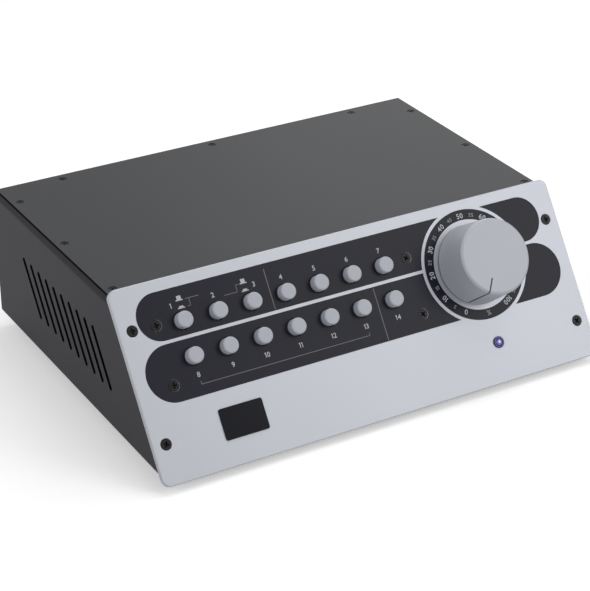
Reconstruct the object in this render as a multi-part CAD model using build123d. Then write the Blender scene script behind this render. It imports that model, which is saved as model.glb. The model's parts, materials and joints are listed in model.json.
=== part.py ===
from build123d import *
from math import cos, radians, sin
import os

# A desktop monitor controller: a folded steel case with a leaning aluminium front panel, two rows of push
# buttons, a large volume knob, and sockets, mains inlet and power switch at the back.
# Millimetres and degrees. X runs right, Y to the back, Z up. The origin is on the table, under the middle.
# Pieces on the front panel are drawn in the panel's frame: u along X, v up its slope, w out of its face.

# Front panel
panel_width = 330.0
panel_height = 125.0
panel_thickness = 4.0
panel_slant = 35.3
panel_corner_radius = 4.5
panel_edge_chamfer = 0.4
panel_hang = 4.3            # how far its lower front edge hangs below the case floor
panel_rise = 4.7            # how far its upper front edge stands above the lid

# Case: tray, lid, rear panel and feet
case_depth = 251.0          # from the panel's lower front edge to the back of the side walls
sheet = 1.5
lid_thickness = 1.5
lid_overlap = 0.5           # how far the lid reaches past the side walls at the back
shoulder_radius = 3.0
floor_bend_radius = 2.5
wall_corner_radius = 3.5
flange_width = 14.0
lip_width = 16.0
rear_thickness = 2.0
rear_recess = 1.5           # how far the rear panel lies inside the ends of the side walls
foot_height = 10.0
foot_width = 20.0
foot_taper = 8.0            # degrees that its sides lean in towards the table
foot_inset = 30.0
front_foot_y = 45.0
rear_foot_margin = 27.0

# Ventilation slots, cut parallel to the front panel
slot_count = 10
slot_pitch = 11.9
slot_length = 43.0
slot_width = 4.0
slot_end_cut = 1.1          # taken off the corners of its ends
slot_middle_height = 45.4   # above the case floor's underside
slots_middle_y = 137.8

# Sides of the round forms that repeat: small ones such as screws and pins, and larger ones such as caps
small_sides, large_sides = 12, 24

# Countersunk screws at the panel's corners
screw_head, screw_shank, screw_length = 7.0, 4.0, 9.0
screw_hole_gap = 0.2
corner_screw_inset = 9.0     # from the panel's side edges
corner_screw_low_v, corner_screw_high_v = 25.6, 97.5

# Push buttons
button_columns = 7
button_edge_inset = 42.8     # from the panel's left edge to the first column
button_knob_gap = 67.0       # from the last column to the knob's axis
button_low_v, button_high_v = 73.1, 96.0
cap_diameter = 10.6
cap_stand_out = 6.0
cap_skirt = 2.5             # how far the cap reaches behind the panel's face
cap_hole_gap = 0.7
socket_depth = 5.0
plunger_width = 3.6
plunger_gap = 0.1
button_travel = 4.0
housing_width = 10.0
housing_height = 9.0
housing_gap = 5.0           # from the panel's back to the switch housings
housing_floor = 1.5
board_thickness = 1.6
board_margin = 12.0
spacer_across = 7.0
spacer_left_gap, spacer_right_gap = 17.8, 18.5     # beyond the first and the last column
spacer_low_v, spacer_high_v = 58.7, 97.0

# Volume knob and potentiometer
knob_edge_inset = 73.8       # from the panel's right edge to the knob's axis
knob_v = 81.1
knob_diameter = 52.0
knob_height = 28.7
knob_panel_gap = 0.8
knob_edge_chamfer = 1.5
knob_recess_diameter = 20.0
knob_recess_depth = 6.0
knob_bore_depth = 18.0
pointer_angle = -150.0      # from straight up, clockwise as seen from the front
pointer_width = 0.9
pointer_depth = 0.4
pointer_start = 15.2
shaft_diameter = 6.0
shaft_bore_gap = 0.03
shaft_bush_gap = 0.05
bush_diameter = 9.0
bush_hole_gap = 0.1
nut_across = 13.0
nut_thickness = 2.5
bush_stand_out = 3.5
grub_diameter = 3.0
grub_length = 6.0
grub_height = 9.0
grub_hole_gap = 0.02
pot_width = 27.0
pot_front_length = 7.0
pot_gang_width = 24.0
pot_gang_length = 6.0
pot_gang_pitch = 8.5
pot_gangs = 6
pot_core_width = 16.0
pot_pocket_depth = 5.0

# Power lamp and badge plate
lamp_offset = 0.3            # to the right of the knob's axis
lamp_v = 26.9
lamp_diameter = 5.0
lamp_stand_out = 1.8
lamp_length = 8.6
lamp_gap = 0.05
bezel_diameter = 8.0
bezel_thickness = 0.9
badge_edge_inset = 63.4      # from the panel's left edge to its middle
badge_v = 26.8
badge_width, badge_height, badge_thickness = 30.7, 20.2, 0.8

# Main board and what stands on the floor
main_spacer_height = 8.0
main_board_gap = 1.0         # from the tray's lip and the rear panel
main_board_depth = 128.5
main_board_transformer_gap = 14.0
main_spacer_inset = 8.0
capacitor_diameter, capacitor_height = 18.0, 30.0
capacitor_inset, capacitor_rear_gap, capacitor_pitch = 62.0, 97.5, 26.0
relay_count, relay_pitch = 8, 16.0
relay_inset, relay_rear_gap = 12.0, 47.5
relay_width, relay_depth, relay_height = 10.0, 20.0, 10.0
heatsink_inset, heatsink_rear_gap = 22.0, 84.5
heatsink_length, heatsink_height = 50.0, 25.0
heatsink_back, heatsink_fin, heatsink_fin_depth = 2.5, 1.5, 12.0
heatsink_fins = 6
transformer_side_gap, transformer_rear_gap = 67.0, 81.5     # from the wall's face and the rear panel's to its axis
transformer_diameter, transformer_height = 84.0, 36.0
transformer_hole = 24.0
clamp_width, clamp_thickness = 44.0, 2.0
clamp_bolt_diameter, clamp_head_height = 8.0, 5.0
clamp_head_across = 13.0

# Rear sockets
xlr_count = 8
xlr_pitch = 30.0
xlr_inset = 28.0             # from the left wall's face to the first socket's axis
xlr_height = 66.0           # of its axis above the case floor's underside
xlr_flange_width, xlr_flange_height, xlr_flange_thickness = 26.0, 31.0, 2.2
xlr_body_width, xlr_body_depth = 21.6, 20.0
xlr_cavity_diameter = 16.2
xlr_cavity_depth = 15.0
xlr_pin_diameter = 2.4
xlr_pin_length = 13.5
xlr_pin_circle = 8.4
dsub_count = 3
dsub_pitch = 66.0
dsub_inset = 49.0            # from the left wall's face to the first socket's middle
dsub_flange_width, dsub_flange_height, dsub_flange_thickness = 53.0, 12.5, 1.0
dsub_shroud_width, dsub_shroud_height, dsub_shroud_length = 38.4, 7.9, 6.0
dsub_shroud_slope = 10.0
dsub_body_width, dsub_body_height, dsub_body_depth = 41.0, 11.0, 10.0
dsub_post_inset, dsub_post_across, dsub_post_length = 3.0, 5.0, 5.5

# Mains inlet and power switch
mains_inset = 37.0           # from the right wall's face to the middles of both
inlet_height = 25.0         # of its middle above the case floor's underside
inlet_flange_width, inlet_flange_height, inlet_flange_thickness = 50.0, 23.0, 3.0
inlet_body_width, inlet_body_height, inlet_body_depth = 27.4, 20.0, 21.0
inlet_cavity_width, inlet_cavity_height, inlet_cavity_depth = 24.2, 16.4, 16.0
inlet_corner_cut = 4.5
inlet_blade_width, inlet_blade_height, inlet_blade_length = 2.0, 4.0, 14.0
inlet_blade_spacing, inlet_blade_drop, inlet_earth_rise = 14.0, 1.4, 2.6
switch_height = 66.0
switch_flange_width, switch_flange_height, switch_flange_thickness = 15.0, 23.0, 2.0
switch_body_width, switch_body_height, switch_body_depth = 13.0, 20.4, 16.0
rocker_width, rocker_length = 10.0, 16.0
rocker_side_gap = 0.3
rocker_swing = 9.0          # to each side of level
rocker_end_rise, rocker_middle_rise = 3.4, 1.6
rocker_heel_radius = 6.5
rocker_pin_diameter = 2.4
rocker_pin_gap = 0.05
rocker_pin_length = 1.0
rocker_end_gap = 0.4
cutout_gap = 0.1

# Places that follow from the sizes above
slant = radians(panel_slant)
half_width = panel_width / 2
corner_screw_u = half_width - corner_screw_inset
knob_u = half_width - knob_edge_inset
lamp_u = knob_u + lamp_offset
badge_u = badge_edge_inset - half_width
button_first_u = button_edge_inset - half_width
button_last_u = knob_u - button_knob_gap
button_pitch = (button_last_u - button_first_u) / (button_columns - 1)
spacer_left_u, spacer_right_u = button_first_u - spacer_left_gap, button_last_u + spacer_right_gap
panel_foot_z = foot_height - panel_hang
lid_top = panel_foot_z + panel_height * cos(slant) - panel_rise
case_top = lid_top - lid_thickness
case_height = case_top - foot_height
floor_top = foot_height + sheet
rear_inner_y = case_depth - rear_recess - rear_thickness
rear_face_y = case_depth - rear_recess
lid_rear_y = case_depth + lid_overlap
inner_width = panel_width - 2 * sheet
rocker_reach = rocker_end_rise * cos(radians(rocker_swing)) + rocker_length / 2 * sin(radians(rocker_swing))
rear_reach = rear_face_y + max(
    dsub_flange_thickness + max(dsub_post_length, dsub_shroud_length),
    xlr_flange_thickness,
    inlet_flange_thickness,
    rocker_reach,
    rear_recess + lid_overlap,
)
housing_top_w = -panel_thickness - housing_gap
board_front_w = housing_top_w - housing_height
xlr_first_x = xlr_inset - half_width
dsub_first_x = dsub_inset - half_width
mains_x = half_width - mains_inset
transformer_x, transformer_y = half_width - transformer_side_gap, rear_inner_y - transformer_rear_gap
main_board_left = lip_width + main_board_gap - half_width
main_board_right = transformer_x - transformer_diameter / 2 - main_board_transformer_gap
main_board_back = rear_inner_y - main_board_gap
main_board_front = main_board_back - main_board_depth
main_board_z = floor_top + main_spacer_height
main_board_top = main_board_z + board_thickness
dsub_z = main_board_top + dsub_body_height / 2
xlr_z = foot_height + xlr_height
inlet_z = foot_height + inlet_height
switch_z = foot_height + switch_height
far = 4 * panel_width       # longer than anything in the model

front_reach = panel_edge_chamfer * sin(slant)   # the chamfer takes the foremost point this far back
panel_frame = Plane((0, 0, panel_foot_z), x_dir=(1, 0, 0), z_dir=(0, -cos(slant), sin(slant))).location
centred = Pos(0, -(front_reach + rear_reach) / 2, 0)


def on_panel(u, v, w=0.0):
    """A place in the panel's frame."""
    return panel_frame * Pos(u, v, w)


def on_rear(x, z, y=rear_face_y):
    """A place at the back: local x runs right, local y up, and local z inwards from the rear panel's face."""
    return Plane((x, y, z), x_dir=(1, 0, 0), z_dir=(0, -1, 0)).location


def block(width, height, low, high):
    """A box centred on its place across, and reaching from low to high along the place's z."""
    return Pos(0, 0, (low + high) / 2) * Box(width, height, high - low)


def rod(diameter, low, high):
    """A round bar along the place's z, from low to high."""
    return Pos(0, 0, (low + high) / 2) * Cylinder(diameter / 2, high - low)


def prism(across, low, high):
    """A hexagonal bar along the place's z, given by its width across the flats."""
    return extrude(Pos(0, 0, low) * RegularPolygon(across / 2, 6, major_radius=False), high - low)


def faceted(diameter, low, high, sides=small_sides):
    """A round bar drawn with few flat sides, for what repeats or lies hidden."""
    return extrude(Pos(0, 0, low) * RegularPolygon(diameter / 2, sides), high - low)


def countersunk(head, shank, length):
    """A countersunk head flush with z = 0, and a shank pointing down."""
    neck = (shank - head) / 2
    outlines = Sketch() + [Pos(0, 0, z) * RegularPolygon(d / 2, small_sides) for z, d in ((0, head), (neck, shank))]
    return loft(outlines.faces(), ruled=True) + faceted(shank, -length, neck)


def save(name, *solids):
    """Write one node, with its solids moved so that the object is centred on the origin."""
    export_step(Compound([centred * solid for solid in solids]), f"parts/{name}.step")


def button_places():
    """The middle of each button: the upper row from the left, then the lower row."""
    return [
        (button_first_u + button_pitch * column, row_v)
        for row_v in (button_high_v, button_low_v)
        for column in range(button_columns)
    ]


def corner_screw_places():
    return [(side * corner_screw_u, v) for v in (corner_screw_low_v, corner_screw_high_v) for side in (-1, 1)]


def spacer_places():
    return [(u, v) for u in (spacer_left_u, spacer_right_u) for v in (spacer_low_v, spacer_high_v)]


def foot_places():
    x = half_width - foot_inset
    return [(side * x, y) for side in (-1, 1) for y in (front_foot_y, case_depth - rear_foot_margin)]


def front_panel():
    """The flat aluminium plate, with its holes and a fine chamfer round its face."""
    plate = extrude(
        Pos(0, panel_height / 2, -panel_thickness) * RectangleRounded(panel_width, panel_height, panel_corner_radius),
        panel_thickness,
    )
    plate = chamfer(plate.faces().sort_by(Axis.Z)[-1].edges(), panel_edge_chamfer)
    through = 2 * panel_thickness
    for u, v in button_places():
        plate -= Pos(u, v) * rod(cap_diameter + 2 * cap_hole_gap, -through, through)
    for u, v in corner_screw_places():
        plate -= Pos(u, v) * countersunk(screw_head + screw_hole_gap, screw_shank + screw_hole_gap, through)
    plate -= Pos(knob_u, knob_v) * rod(bush_diameter + 2 * bush_hole_gap, -through, through)
    plate -= Pos(lamp_u, lamp_v) * rod(lamp_diameter + 2 * lamp_gap, -through, through)
    return panel_frame * plate


def case_envelope():
    """The tray's outer form, full and running past the front panel."""
    outline = Pos(0, foot_height + case_height / 2) * Rectangle(panel_width, case_height)
    corners = outline.vertices().sort_by(Axis.Y)
    outline = fillet(corners[:2], floor_bend_radius)
    outline = fillet(outline.vertices().sort_by(Axis.Y)[-2:], shoulder_radius)
    return extrude(Plane.XZ * outline, -case_depth)


def case_inside():
    """The room inside the tray's sheet."""
    width, height = panel_width - 2 * sheet, case_height - 2 * sheet
    outline = Pos(0, foot_height + case_height / 2) * Rectangle(width, height)
    outline = fillet(outline.vertices().sort_by(Axis.Y)[:2], floor_bend_radius - sheet)
    outline = fillet(outline.vertices().sort_by(Axis.Y)[-2:], shoulder_radius - sheet)
    return extrude(Plane.XZ * outline, -case_depth)


def behind_panel(w_front, w_back):
    """A slab parallel to the front panel, between two depths behind its face."""
    return on_panel(0, panel_height / 2) * block(far, far, w_back, w_front)


def chassis_tray():
    """Floor, side walls and top flanges folded from one sheet, with lips for the front and rear panels."""
    envelope = case_envelope()
    tray = envelope - case_inside()
    mouth_width = panel_width - 2 * flange_width
    mouth = Pos(0, case_depth / 2, case_top) * Box(mouth_width, far, 4 * sheet)
    tray -= mouth
    front_lip = behind_panel(-panel_thickness, -panel_thickness - sheet) & envelope
    window_low_v = panel_hang / cos(slant) + lip_width
    window = on_panel(0, window_low_v + far / 2) * block(panel_width - 2 * lip_width, far, -far, far)
    rear_lip = Pos(0, rear_inner_y - sheet / 2, 0) * Box(far, sheet, far) & envelope
    rear_window = Pos(0, rear_inner_y, floor_top + far / 2) * Box(panel_width - 2 * lip_width, far, far)
    tray += front_lip - window
    tray += rear_lip - rear_window
    tray -= behind_panel(far, -panel_thickness)
    tray -= Pos(0, rear_inner_y + far / 2, case_top / 2) * Box(inner_width, far, far)
    corner_place = Pos(0, case_depth - wall_corner_radius, foot_height + wall_corner_radius)
    corner = Pos(0, wall_corner_radius, -wall_corner_radius) * Box(far, 2 * wall_corner_radius, 2 * wall_corner_radius)
    tray -= corner_place * (corner - Rot(Y=90) * Cylinder(wall_corner_radius, 2 * far))
    slot = chamfer(Rectangle(slot_length, slot_width).vertices(), slot_end_cut)
    slot = Rot(Y=90) * extrude(slot, 2 * sheet, both=True)
    for side in (-1, 1):
        for number in range(slot_count):
            y = slots_middle_y + slot_pitch * (number - (slot_count - 1) / 2)
            place = Pos(side * (panel_width - sheet) / 2, y, foot_height + slot_middle_height)
            tray -= place * Rot(X=-panel_slant) * slot
    for u, v in corner_screw_places():
        tray -= on_panel(u, v) * faceted(screw_shank, -2 * screw_length, 0)
    return tray


def lid():
    """The flat cover plate on the flanges, cut off along the panel's back."""
    width = panel_width - 2 * shoulder_radius
    plate = Pos(0, lid_rear_y / 2, (case_top + lid_top) / 2) * Box(width, lid_rear_y, lid_thickness)
    return plate - behind_panel(far, -panel_thickness)


def rear_panel():
    """The rear plate with its socket cut-outs, and a flange along its top that the lid is screwed to."""
    outline = Pos(0, foot_height + case_height / 2) * Rectangle(inner_width, case_height)
    outline = fillet(outline.vertices().sort_by(Axis.Y)[:2], floor_bend_radius - sheet)
    outline = fillet(outline.vertices().sort_by(Axis.Y)[-2:], shoulder_radius - sheet)
    plate = Pos(0, rear_face_y, 0) * extrude(Plane.XZ * outline, rear_thickness)
    flange_span = panel_width - 2 * max(flange_width, lip_width) - 2 * cutout_gap
    flange_y = rear_inner_y - flange_width / 2
    plate += Pos(0, flange_y, case_top - rear_thickness / 2) * Box(flange_span, flange_width, rear_thickness)
    through = 2 * rear_thickness
    for number in range(xlr_count):
        width = xlr_body_width + 2 * cutout_gap
        plate -= on_rear(xlr_first_x + xlr_pitch * number, xlr_z) * block(width, width, -through, through)
    for number in range(dsub_count):
        width, height = dsub_body_width + 2 * cutout_gap, dsub_body_height + 2 * cutout_gap
        plate -= on_rear(dsub_first_x + dsub_pitch * number, dsub_z) * block(width, height, -through, through)
    width, height = inlet_body_width + 2 * cutout_gap, inlet_body_height + 2 * cutout_gap
    plate -= on_rear(mains_x, inlet_z) * block(width, height, -through, through)
    width, height = switch_body_width + 2 * cutout_gap, switch_body_height + 2 * cutout_gap
    plate -= on_rear(mains_x, switch_z) * block(width, height, -through, through)
    return plate


def button_cap(u, v):
    """A round cap with a square socket that presses onto its plunger."""
    cap = faceted(cap_diameter, -cap_skirt, cap_stand_out, large_sides)
    cap -= block(plunger_width, plunger_width, -cap_skirt, socket_depth - cap_skirt)
    return on_panel(u, v) * cap


def plunger_foot_w():
    """Where the plunger ends, so that its full travel stops short of the housing's floor."""
    return board_front_w + housing_floor + button_travel


def switch_plunger(u, v):
    """The square bar between the cap and the inside of the switch housing."""
    return on_panel(u, v) * block(plunger_width, plunger_width, plunger_foot_w(), socket_depth - cap_skirt)


def switch_housing(u, v):
    """A switch body on the board, open in front for its plunger."""
    body = block(housing_width, housing_width, board_front_w, housing_top_w)
    bore = plunger_width + 2 * plunger_gap
    body -= block(bore, bore, board_front_w + housing_floor / 2, housing_top_w)
    return on_panel(u, v) * body


def board_spacer(u, v):
    """A hexagonal post that holds the control board behind the panel."""
    return on_panel(u, v) * prism(spacer_across, board_front_w, -panel_thickness)


def control_board():
    """The board behind the two rows of buttons."""
    left, right = spacer_left_u - board_margin, spacer_right_u + board_margin
    low, high = spacer_low_v - board_margin, spacer_high_v + board_margin
    middle = on_panel((left + right) / 2, (low + high) / 2)
    return middle * block(right - left, high - low, board_front_w - board_thickness, board_front_w)


def volume_knob():
    """The turned aluminium knob, with its engraved pointer, bore and the hole for its grub screw."""
    radius, recess_radius = knob_diameter / 2, knob_recess_diameter / 2
    bore_radius = shaft_diameter / 2 + shaft_bore_gap
    recess_top = knob_panel_gap + knob_recess_depth
    bore_top = knob_panel_gap + knob_bore_depth
    outline = Polygon(
        (0, knob_height), (0, bore_top), (bore_radius, bore_top), (bore_radius, recess_top),
        (recess_radius, recess_top), (recess_radius, knob_panel_gap), (radius, knob_panel_gap), (radius, knob_height),
        align=None,
    )
    outer_corner = outline.vertices().sort_by(Axis.Y)[-2:].sort_by(Axis.X)[-1]
    knob = revolve(Plane.XZ * chamfer(outer_corner, knob_edge_chamfer), Axis.Z)
    face_groove = Pos(0, (pointer_start + knob_diameter) / 2, knob_height) * Box(
        pointer_width, knob_diameter - pointer_start, 2 * pointer_depth
    )
    side_groove = Pos(0, radius, knob_height / 2) * Box(pointer_width, 2 * pointer_depth, knob_height)
    edge_groove = Pos(0, radius - knob_edge_chamfer / 2, knob_height - knob_edge_chamfer / 2) * Rot(X=-45) * Box(
        pointer_width, 2 * knob_edge_chamfer, 2 * pointer_depth
    )
    knob -= Rot(Z=-pointer_angle) * (face_groove + side_groove + edge_groove)
    grub_bore = Pos(0, 0, grub_height) * Rot(X=90) * faceted(grub_diameter + 2 * grub_hole_gap, 0, knob_diameter)
    knob -= Rot(Z=-pointer_angle) * grub_bore
    return on_panel(knob_u, knob_v) * knob


def grub_screw():
    """The screw in the knob's side, hard against the shaft."""
    screw = faceted(grub_diameter, shaft_diameter / 2, shaft_diameter / 2 + grub_length)
    shaft = Rot(X=90) * rod(shaft_diameter, -grub_length, grub_length)
    return on_panel(knob_u, knob_v, grub_height) * Rot(Z=-pointer_angle) * Rot(X=90) * (screw - shaft)


def pot_shaft():
    """The potentiometer's shaft, from the pocket in its front plate to the end of the knob's bore."""
    foot = -panel_thickness - pot_pocket_depth
    return on_panel(knob_u, knob_v) * rod(shaft_diameter, foot, knob_panel_gap + knob_bore_depth)


def volume_pot():
    """A potentiometer with one gang for each channel, held by its threaded bush."""
    front = -panel_thickness
    body = block(pot_width, pot_width, front - pot_front_length, front)
    body += rod(bush_diameter, front, bush_stand_out)
    last = front - pot_front_length - pot_gang_pitch * pot_gangs
    body += block(pot_core_width, pot_core_width, last, front - pot_front_length)
    for number in range(pot_gangs):
        high = front - pot_front_length - pot_gang_pitch * number - (pot_gang_pitch - pot_gang_length)
        body += block(pot_gang_width, pot_gang_width, high - pot_gang_length, high)
    bore = shaft_diameter + 2 * shaft_bush_gap
    body -= rod(bore, front - pot_pocket_depth, bush_stand_out)
    return on_panel(knob_u, knob_v) * body


def pot_nut():
    """The nut that clamps the potentiometer's bush to the panel, under the knob."""
    nut = prism(nut_across, 0, nut_thickness) - rod(bush_diameter, 0, nut_thickness)
    return on_panel(knob_u, knob_v) * nut


def lamp_bezel():
    """The collar round the power lamp, on the panel's face."""
    collar = rod(bezel_diameter, 0, bezel_thickness) - rod(lamp_diameter + 2 * lamp_gap, 0, bezel_thickness)
    return on_panel(lamp_u, lamp_v) * collar


def power_lamp():
    """The lamp's clear body, reaching through the panel and out of its collar."""
    return on_panel(lamp_u, lamp_v) * rod(lamp_diameter, lamp_stand_out - lamp_length, lamp_stand_out)


def badge_plate():
    """The thin plate stuck to the panel's lower left."""
    return on_panel(badge_u, badge_v) * block(badge_width, badge_height, 0, badge_thickness)


def main_board():
    """The board behind the lower row of sockets."""
    width, depth = main_board_right - main_board_left, main_board_back - main_board_front
    middle = Pos((main_board_left + main_board_right) / 2, (main_board_front + main_board_back) / 2)
    return middle * block(width, depth, main_board_z, main_board_top)


def main_spacers():
    """The hexagonal posts between the floor and the main board."""
    return [
        Pos(x, y) * prism(spacer_across, floor_top, main_board_z)
        for x in (main_board_left + main_spacer_inset, main_board_right - main_spacer_inset)
        for y in (main_board_front + main_spacer_inset, main_board_back - main_spacer_inset)
    ]


def capacitors():
    """The two supply capacitors on the main board."""
    can = faceted(capacitor_diameter, main_board_top, main_board_top + capacitor_height, large_sides)
    x, y = main_board_right - capacitor_inset, rear_inner_y - capacitor_rear_gap
    return [Pos(x, y + capacitor_pitch * number) * can for number in range(2)]


def relays():
    """The relays that switch the inputs and outputs, in a row on the main board."""
    relay = block(relay_width, relay_depth, main_board_top, main_board_top + relay_height)
    x, y = main_board_left + relay_inset, rear_inner_y - relay_rear_gap
    return [Pos(x + relay_pitch * number, y) * relay for number in range(relay_count)]


def heatsink():
    """The finned bar that cools the supply's regulators, standing on the main board."""
    comb = Pos(heatsink_back / 2, 0) * Rectangle(heatsink_back, heatsink_length)
    fin = Pos(heatsink_back + heatsink_fin_depth / 2, 0) * Rectangle(heatsink_fin_depth, heatsink_fin)
    for number in range(heatsink_fins):
        comb += Pos(0, (heatsink_length - heatsink_fin) * (number / (heatsink_fins - 1) - 0.5)) * fin
    x, y = main_board_right - heatsink_inset, rear_inner_y - heatsink_rear_gap
    return Pos(x, y, main_board_top) * extrude(comb, heatsink_height)


def toroid():
    """The ring-shaped mains transformer, lying on the floor."""
    top = floor_top + transformer_height
    ring = faceted(transformer_diameter, floor_top, top, large_sides)
    ring -= faceted(transformer_hole, floor_top, top, large_sides)
    return Pos(transformer_x, transformer_y) * ring


def transformer_clamp():
    """The plate and bolt that hold the transformer down."""
    top = floor_top + transformer_height
    plate = block(clamp_width, clamp_width, top, top + clamp_thickness)
    bolt = rod(clamp_bolt_diameter, floor_top, top)
    head = prism(clamp_head_across, top + clamp_thickness, top + clamp_thickness + clamp_head_height)
    return Pos(transformer_x, transformer_y) * (plate + bolt + head)


def rubber_foot(x, y):
    """A square rubber foot under the floor, narrower at the table."""
    return Pos(x, y, foot_height) * extrude(Rectangle(foot_width, foot_width), -foot_height, taper=foot_taper)


def xlr_shell(x):
    """The shell of a male three-pin socket: a flange outside and a square body through the rear panel."""
    shell = block(xlr_flange_width, xlr_flange_height, -xlr_flange_thickness, 0)
    shell += block(xlr_body_width, xlr_body_width, 0, xlr_body_depth)
    floor = xlr_cavity_depth - xlr_flange_thickness
    shell -= faceted(xlr_cavity_diameter, -xlr_flange_thickness, floor, large_sides)
    return on_rear(x, xlr_z) * shell


def xlr_pins(x):
    """Its three contact pins, standing on the floor of the cavity."""
    foot = xlr_cavity_depth - xlr_flange_thickness
    pin = faceted(xlr_pin_diameter, foot - xlr_pin_length, foot, small_sides // 2)
    radius = xlr_pin_circle / 2
    return [on_rear(x, xlr_z) * Pos(a, b) * pin for a, b in ((-radius, 0), (radius, 0), (0, -radius))]


def dsub_socket(x):
    """A 25-way socket: its flange and D-shaped shroud outside, and its body through the rear panel."""
    socket = block(dsub_flange_width, dsub_flange_height, -dsub_flange_thickness, 0)
    socket += block(dsub_body_width, dsub_body_height, 0, dsub_body_depth)
    shroud = Trapezoid(dsub_shroud_width, dsub_shroud_height, 90 - dsub_shroud_slope)
    shroud = extrude(Pos(0, 0, -dsub_flange_thickness) * Rot(Z=180) * shroud, -dsub_shroud_length)
    return on_rear(x, dsub_z) * (socket + shroud)


def dsub_posts(x):
    """The two hexagonal posts that take the plug's screws."""
    post = prism(dsub_post_across, -dsub_flange_thickness - dsub_post_length, -dsub_flange_thickness)
    reach = dsub_flange_width / 2 - dsub_post_inset
    return [on_rear(x + side * reach, dsub_z) * post for side in (-1, 1)]


def mains_inlet():
    """A three-pin appliance inlet with a deep cavity, whose two upper corners are cut off."""
    body = block(inlet_flange_width, inlet_flange_height, -inlet_flange_thickness, 0)
    body += block(inlet_body_width, inlet_body_height, 0, inlet_body_depth)
    cavity = Rectangle(inlet_cavity_width, inlet_cavity_height)
    cavity = chamfer(cavity.vertices().sort_by(Axis.Y)[-2:], inlet_corner_cut)
    body -= extrude(Pos(0, 0, -inlet_flange_thickness) * cavity, inlet_cavity_depth)
    return on_rear(mains_x, inlet_z) * body


def inlet_blades():
    """The inlet's three flat contacts, standing on the floor of its cavity."""
    foot = inlet_cavity_depth - inlet_flange_thickness
    blade = block(inlet_blade_width, inlet_blade_height, foot - inlet_blade_length, foot)
    half = inlet_blade_spacing / 2
    places = ((-half, -inlet_blade_drop), (half, -inlet_blade_drop), (0, inlet_earth_rise))
    return [on_rear(mains_x, inlet_z) * Pos(a, b) * blade for a, b in places]


def power_switch():
    """The power switch's housing: a flange outside, and a well for the rocker and its pivot pins."""
    body = block(switch_flange_width, switch_flange_height, -switch_flange_thickness, 0)
    body += block(switch_body_width, switch_body_height, 0, switch_body_depth)
    well_width = rocker_width + 2 * rocker_side_gap
    well_height = rocker_length + 2 * rocker_end_gap + 2 * rocker_reach_gap()
    body -= block(well_width, well_height, -switch_flange_thickness, rocker_heel_radius + rocker_end_gap)
    pin_room = rocker_width + 2 * rocker_pin_length + 2 * rocker_side_gap
    body -= Rot(Y=90) * rod(rocker_pin_diameter + 2 * rocker_pin_gap, -pin_room / 2, pin_room / 2)
    return on_rear(mains_x, switch_z) * body


def rocker_reach_gap():
    """How much further than half its length the rocker's corner reaches along the well as it tips."""
    half, rise, swing = rocker_length / 2, rocker_end_rise, radians(rocker_swing)
    return half * cos(swing) + rise * sin(swing) - half


def power_rocker():
    """The rocker, tipped to one side on its pivot pins, with a shallow valley across its face."""
    half = rocker_length / 2
    face = Polygon(
        (-half, 0), (-half, rocker_end_rise), (0, rocker_middle_rise), (half, rocker_end_rise), (half, 0),
        align=None,
    )
    heel = Circle(rocker_heel_radius) & Pos(0, -rocker_heel_radius) * Rectangle(far, 2 * rocker_heel_radius)
    side_view = Plane((0, 0, 0), x_dir=(0, 1, 0), z_dir=(1, 0, 0))
    rocker = extrude(side_view * (face + heel), rocker_width / 2, both=True)
    pin_reach = rocker_width / 2 + rocker_pin_length
    rocker += Rot(Y=90) * faceted(rocker_pin_diameter, -pin_reach, pin_reach)
    return on_rear(mains_x, switch_z) * Rot(Y=180) * Rot(X=rocker_swing) * rocker


os.makedirs("parts", exist_ok=True)

save("front_panel", front_panel())
save("chassis_tray", chassis_tray())
save("lid", lid())
save("rear_panel", rear_panel())
save("rubber_feet", *[rubber_foot(x, y) for x, y in foot_places()])

corner_screw = countersunk(screw_head, screw_shank, screw_length)
save("corner_screws", *[on_panel(u, v) * corner_screw for u, v in corner_screw_places()])

for number, (u, v) in enumerate(button_places(), start=1):
    save(f"button_cap_{number:02d}", button_cap(u, v))
    save(f"switch_plunger_{number:02d}", switch_plunger(u, v))
save("switch_housings", *[switch_housing(u, v) for u, v in button_places()])
save("board_spacers", *[board_spacer(u, v) for u, v in spacer_places()])
save("control_board", control_board())

save("volume_knob", volume_knob())
save("knob_grub_screw", grub_screw())
save("pot_shaft", pot_shaft())
save("volume_pot", volume_pot())
save("pot_nut", pot_nut())
save("lamp_bezel", lamp_bezel())
save("power_lamp", power_lamp())
save("badge_plate", badge_plate())

save("main_board", main_board())
save("main_board_spacers", *main_spacers())
save("capacitors", *capacitors())
save("relays", *relays())
save("heatsink", heatsink())
save("toroid", toroid())
save("transformer_clamp", transformer_clamp())

xlr_xs = [xlr_first_x + xlr_pitch * number for number in range(xlr_count)]
dsub_xs = [dsub_first_x + dsub_pitch * number for number in range(dsub_count)]
save("xlr_shells", *[xlr_shell(x) for x in xlr_xs])
save("xlr_pins", *[pin for x in xlr_xs for pin in xlr_pins(x)])
save("dsub_sockets", *[dsub_socket(x) for x in dsub_xs])
save("dsub_posts", *[post for x in dsub_xs for post in dsub_posts(x)])
save("mains_inlet", mains_inlet())
save("inlet_blades", *inlet_blades())
save("power_switch", power_switch())
save("power_rocker", power_rocker())
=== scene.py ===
import bmesh
import bpy
import json
from math import asin, cos, pi, radians, sin, sqrt
from mathutils import Matrix, Vector


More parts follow.
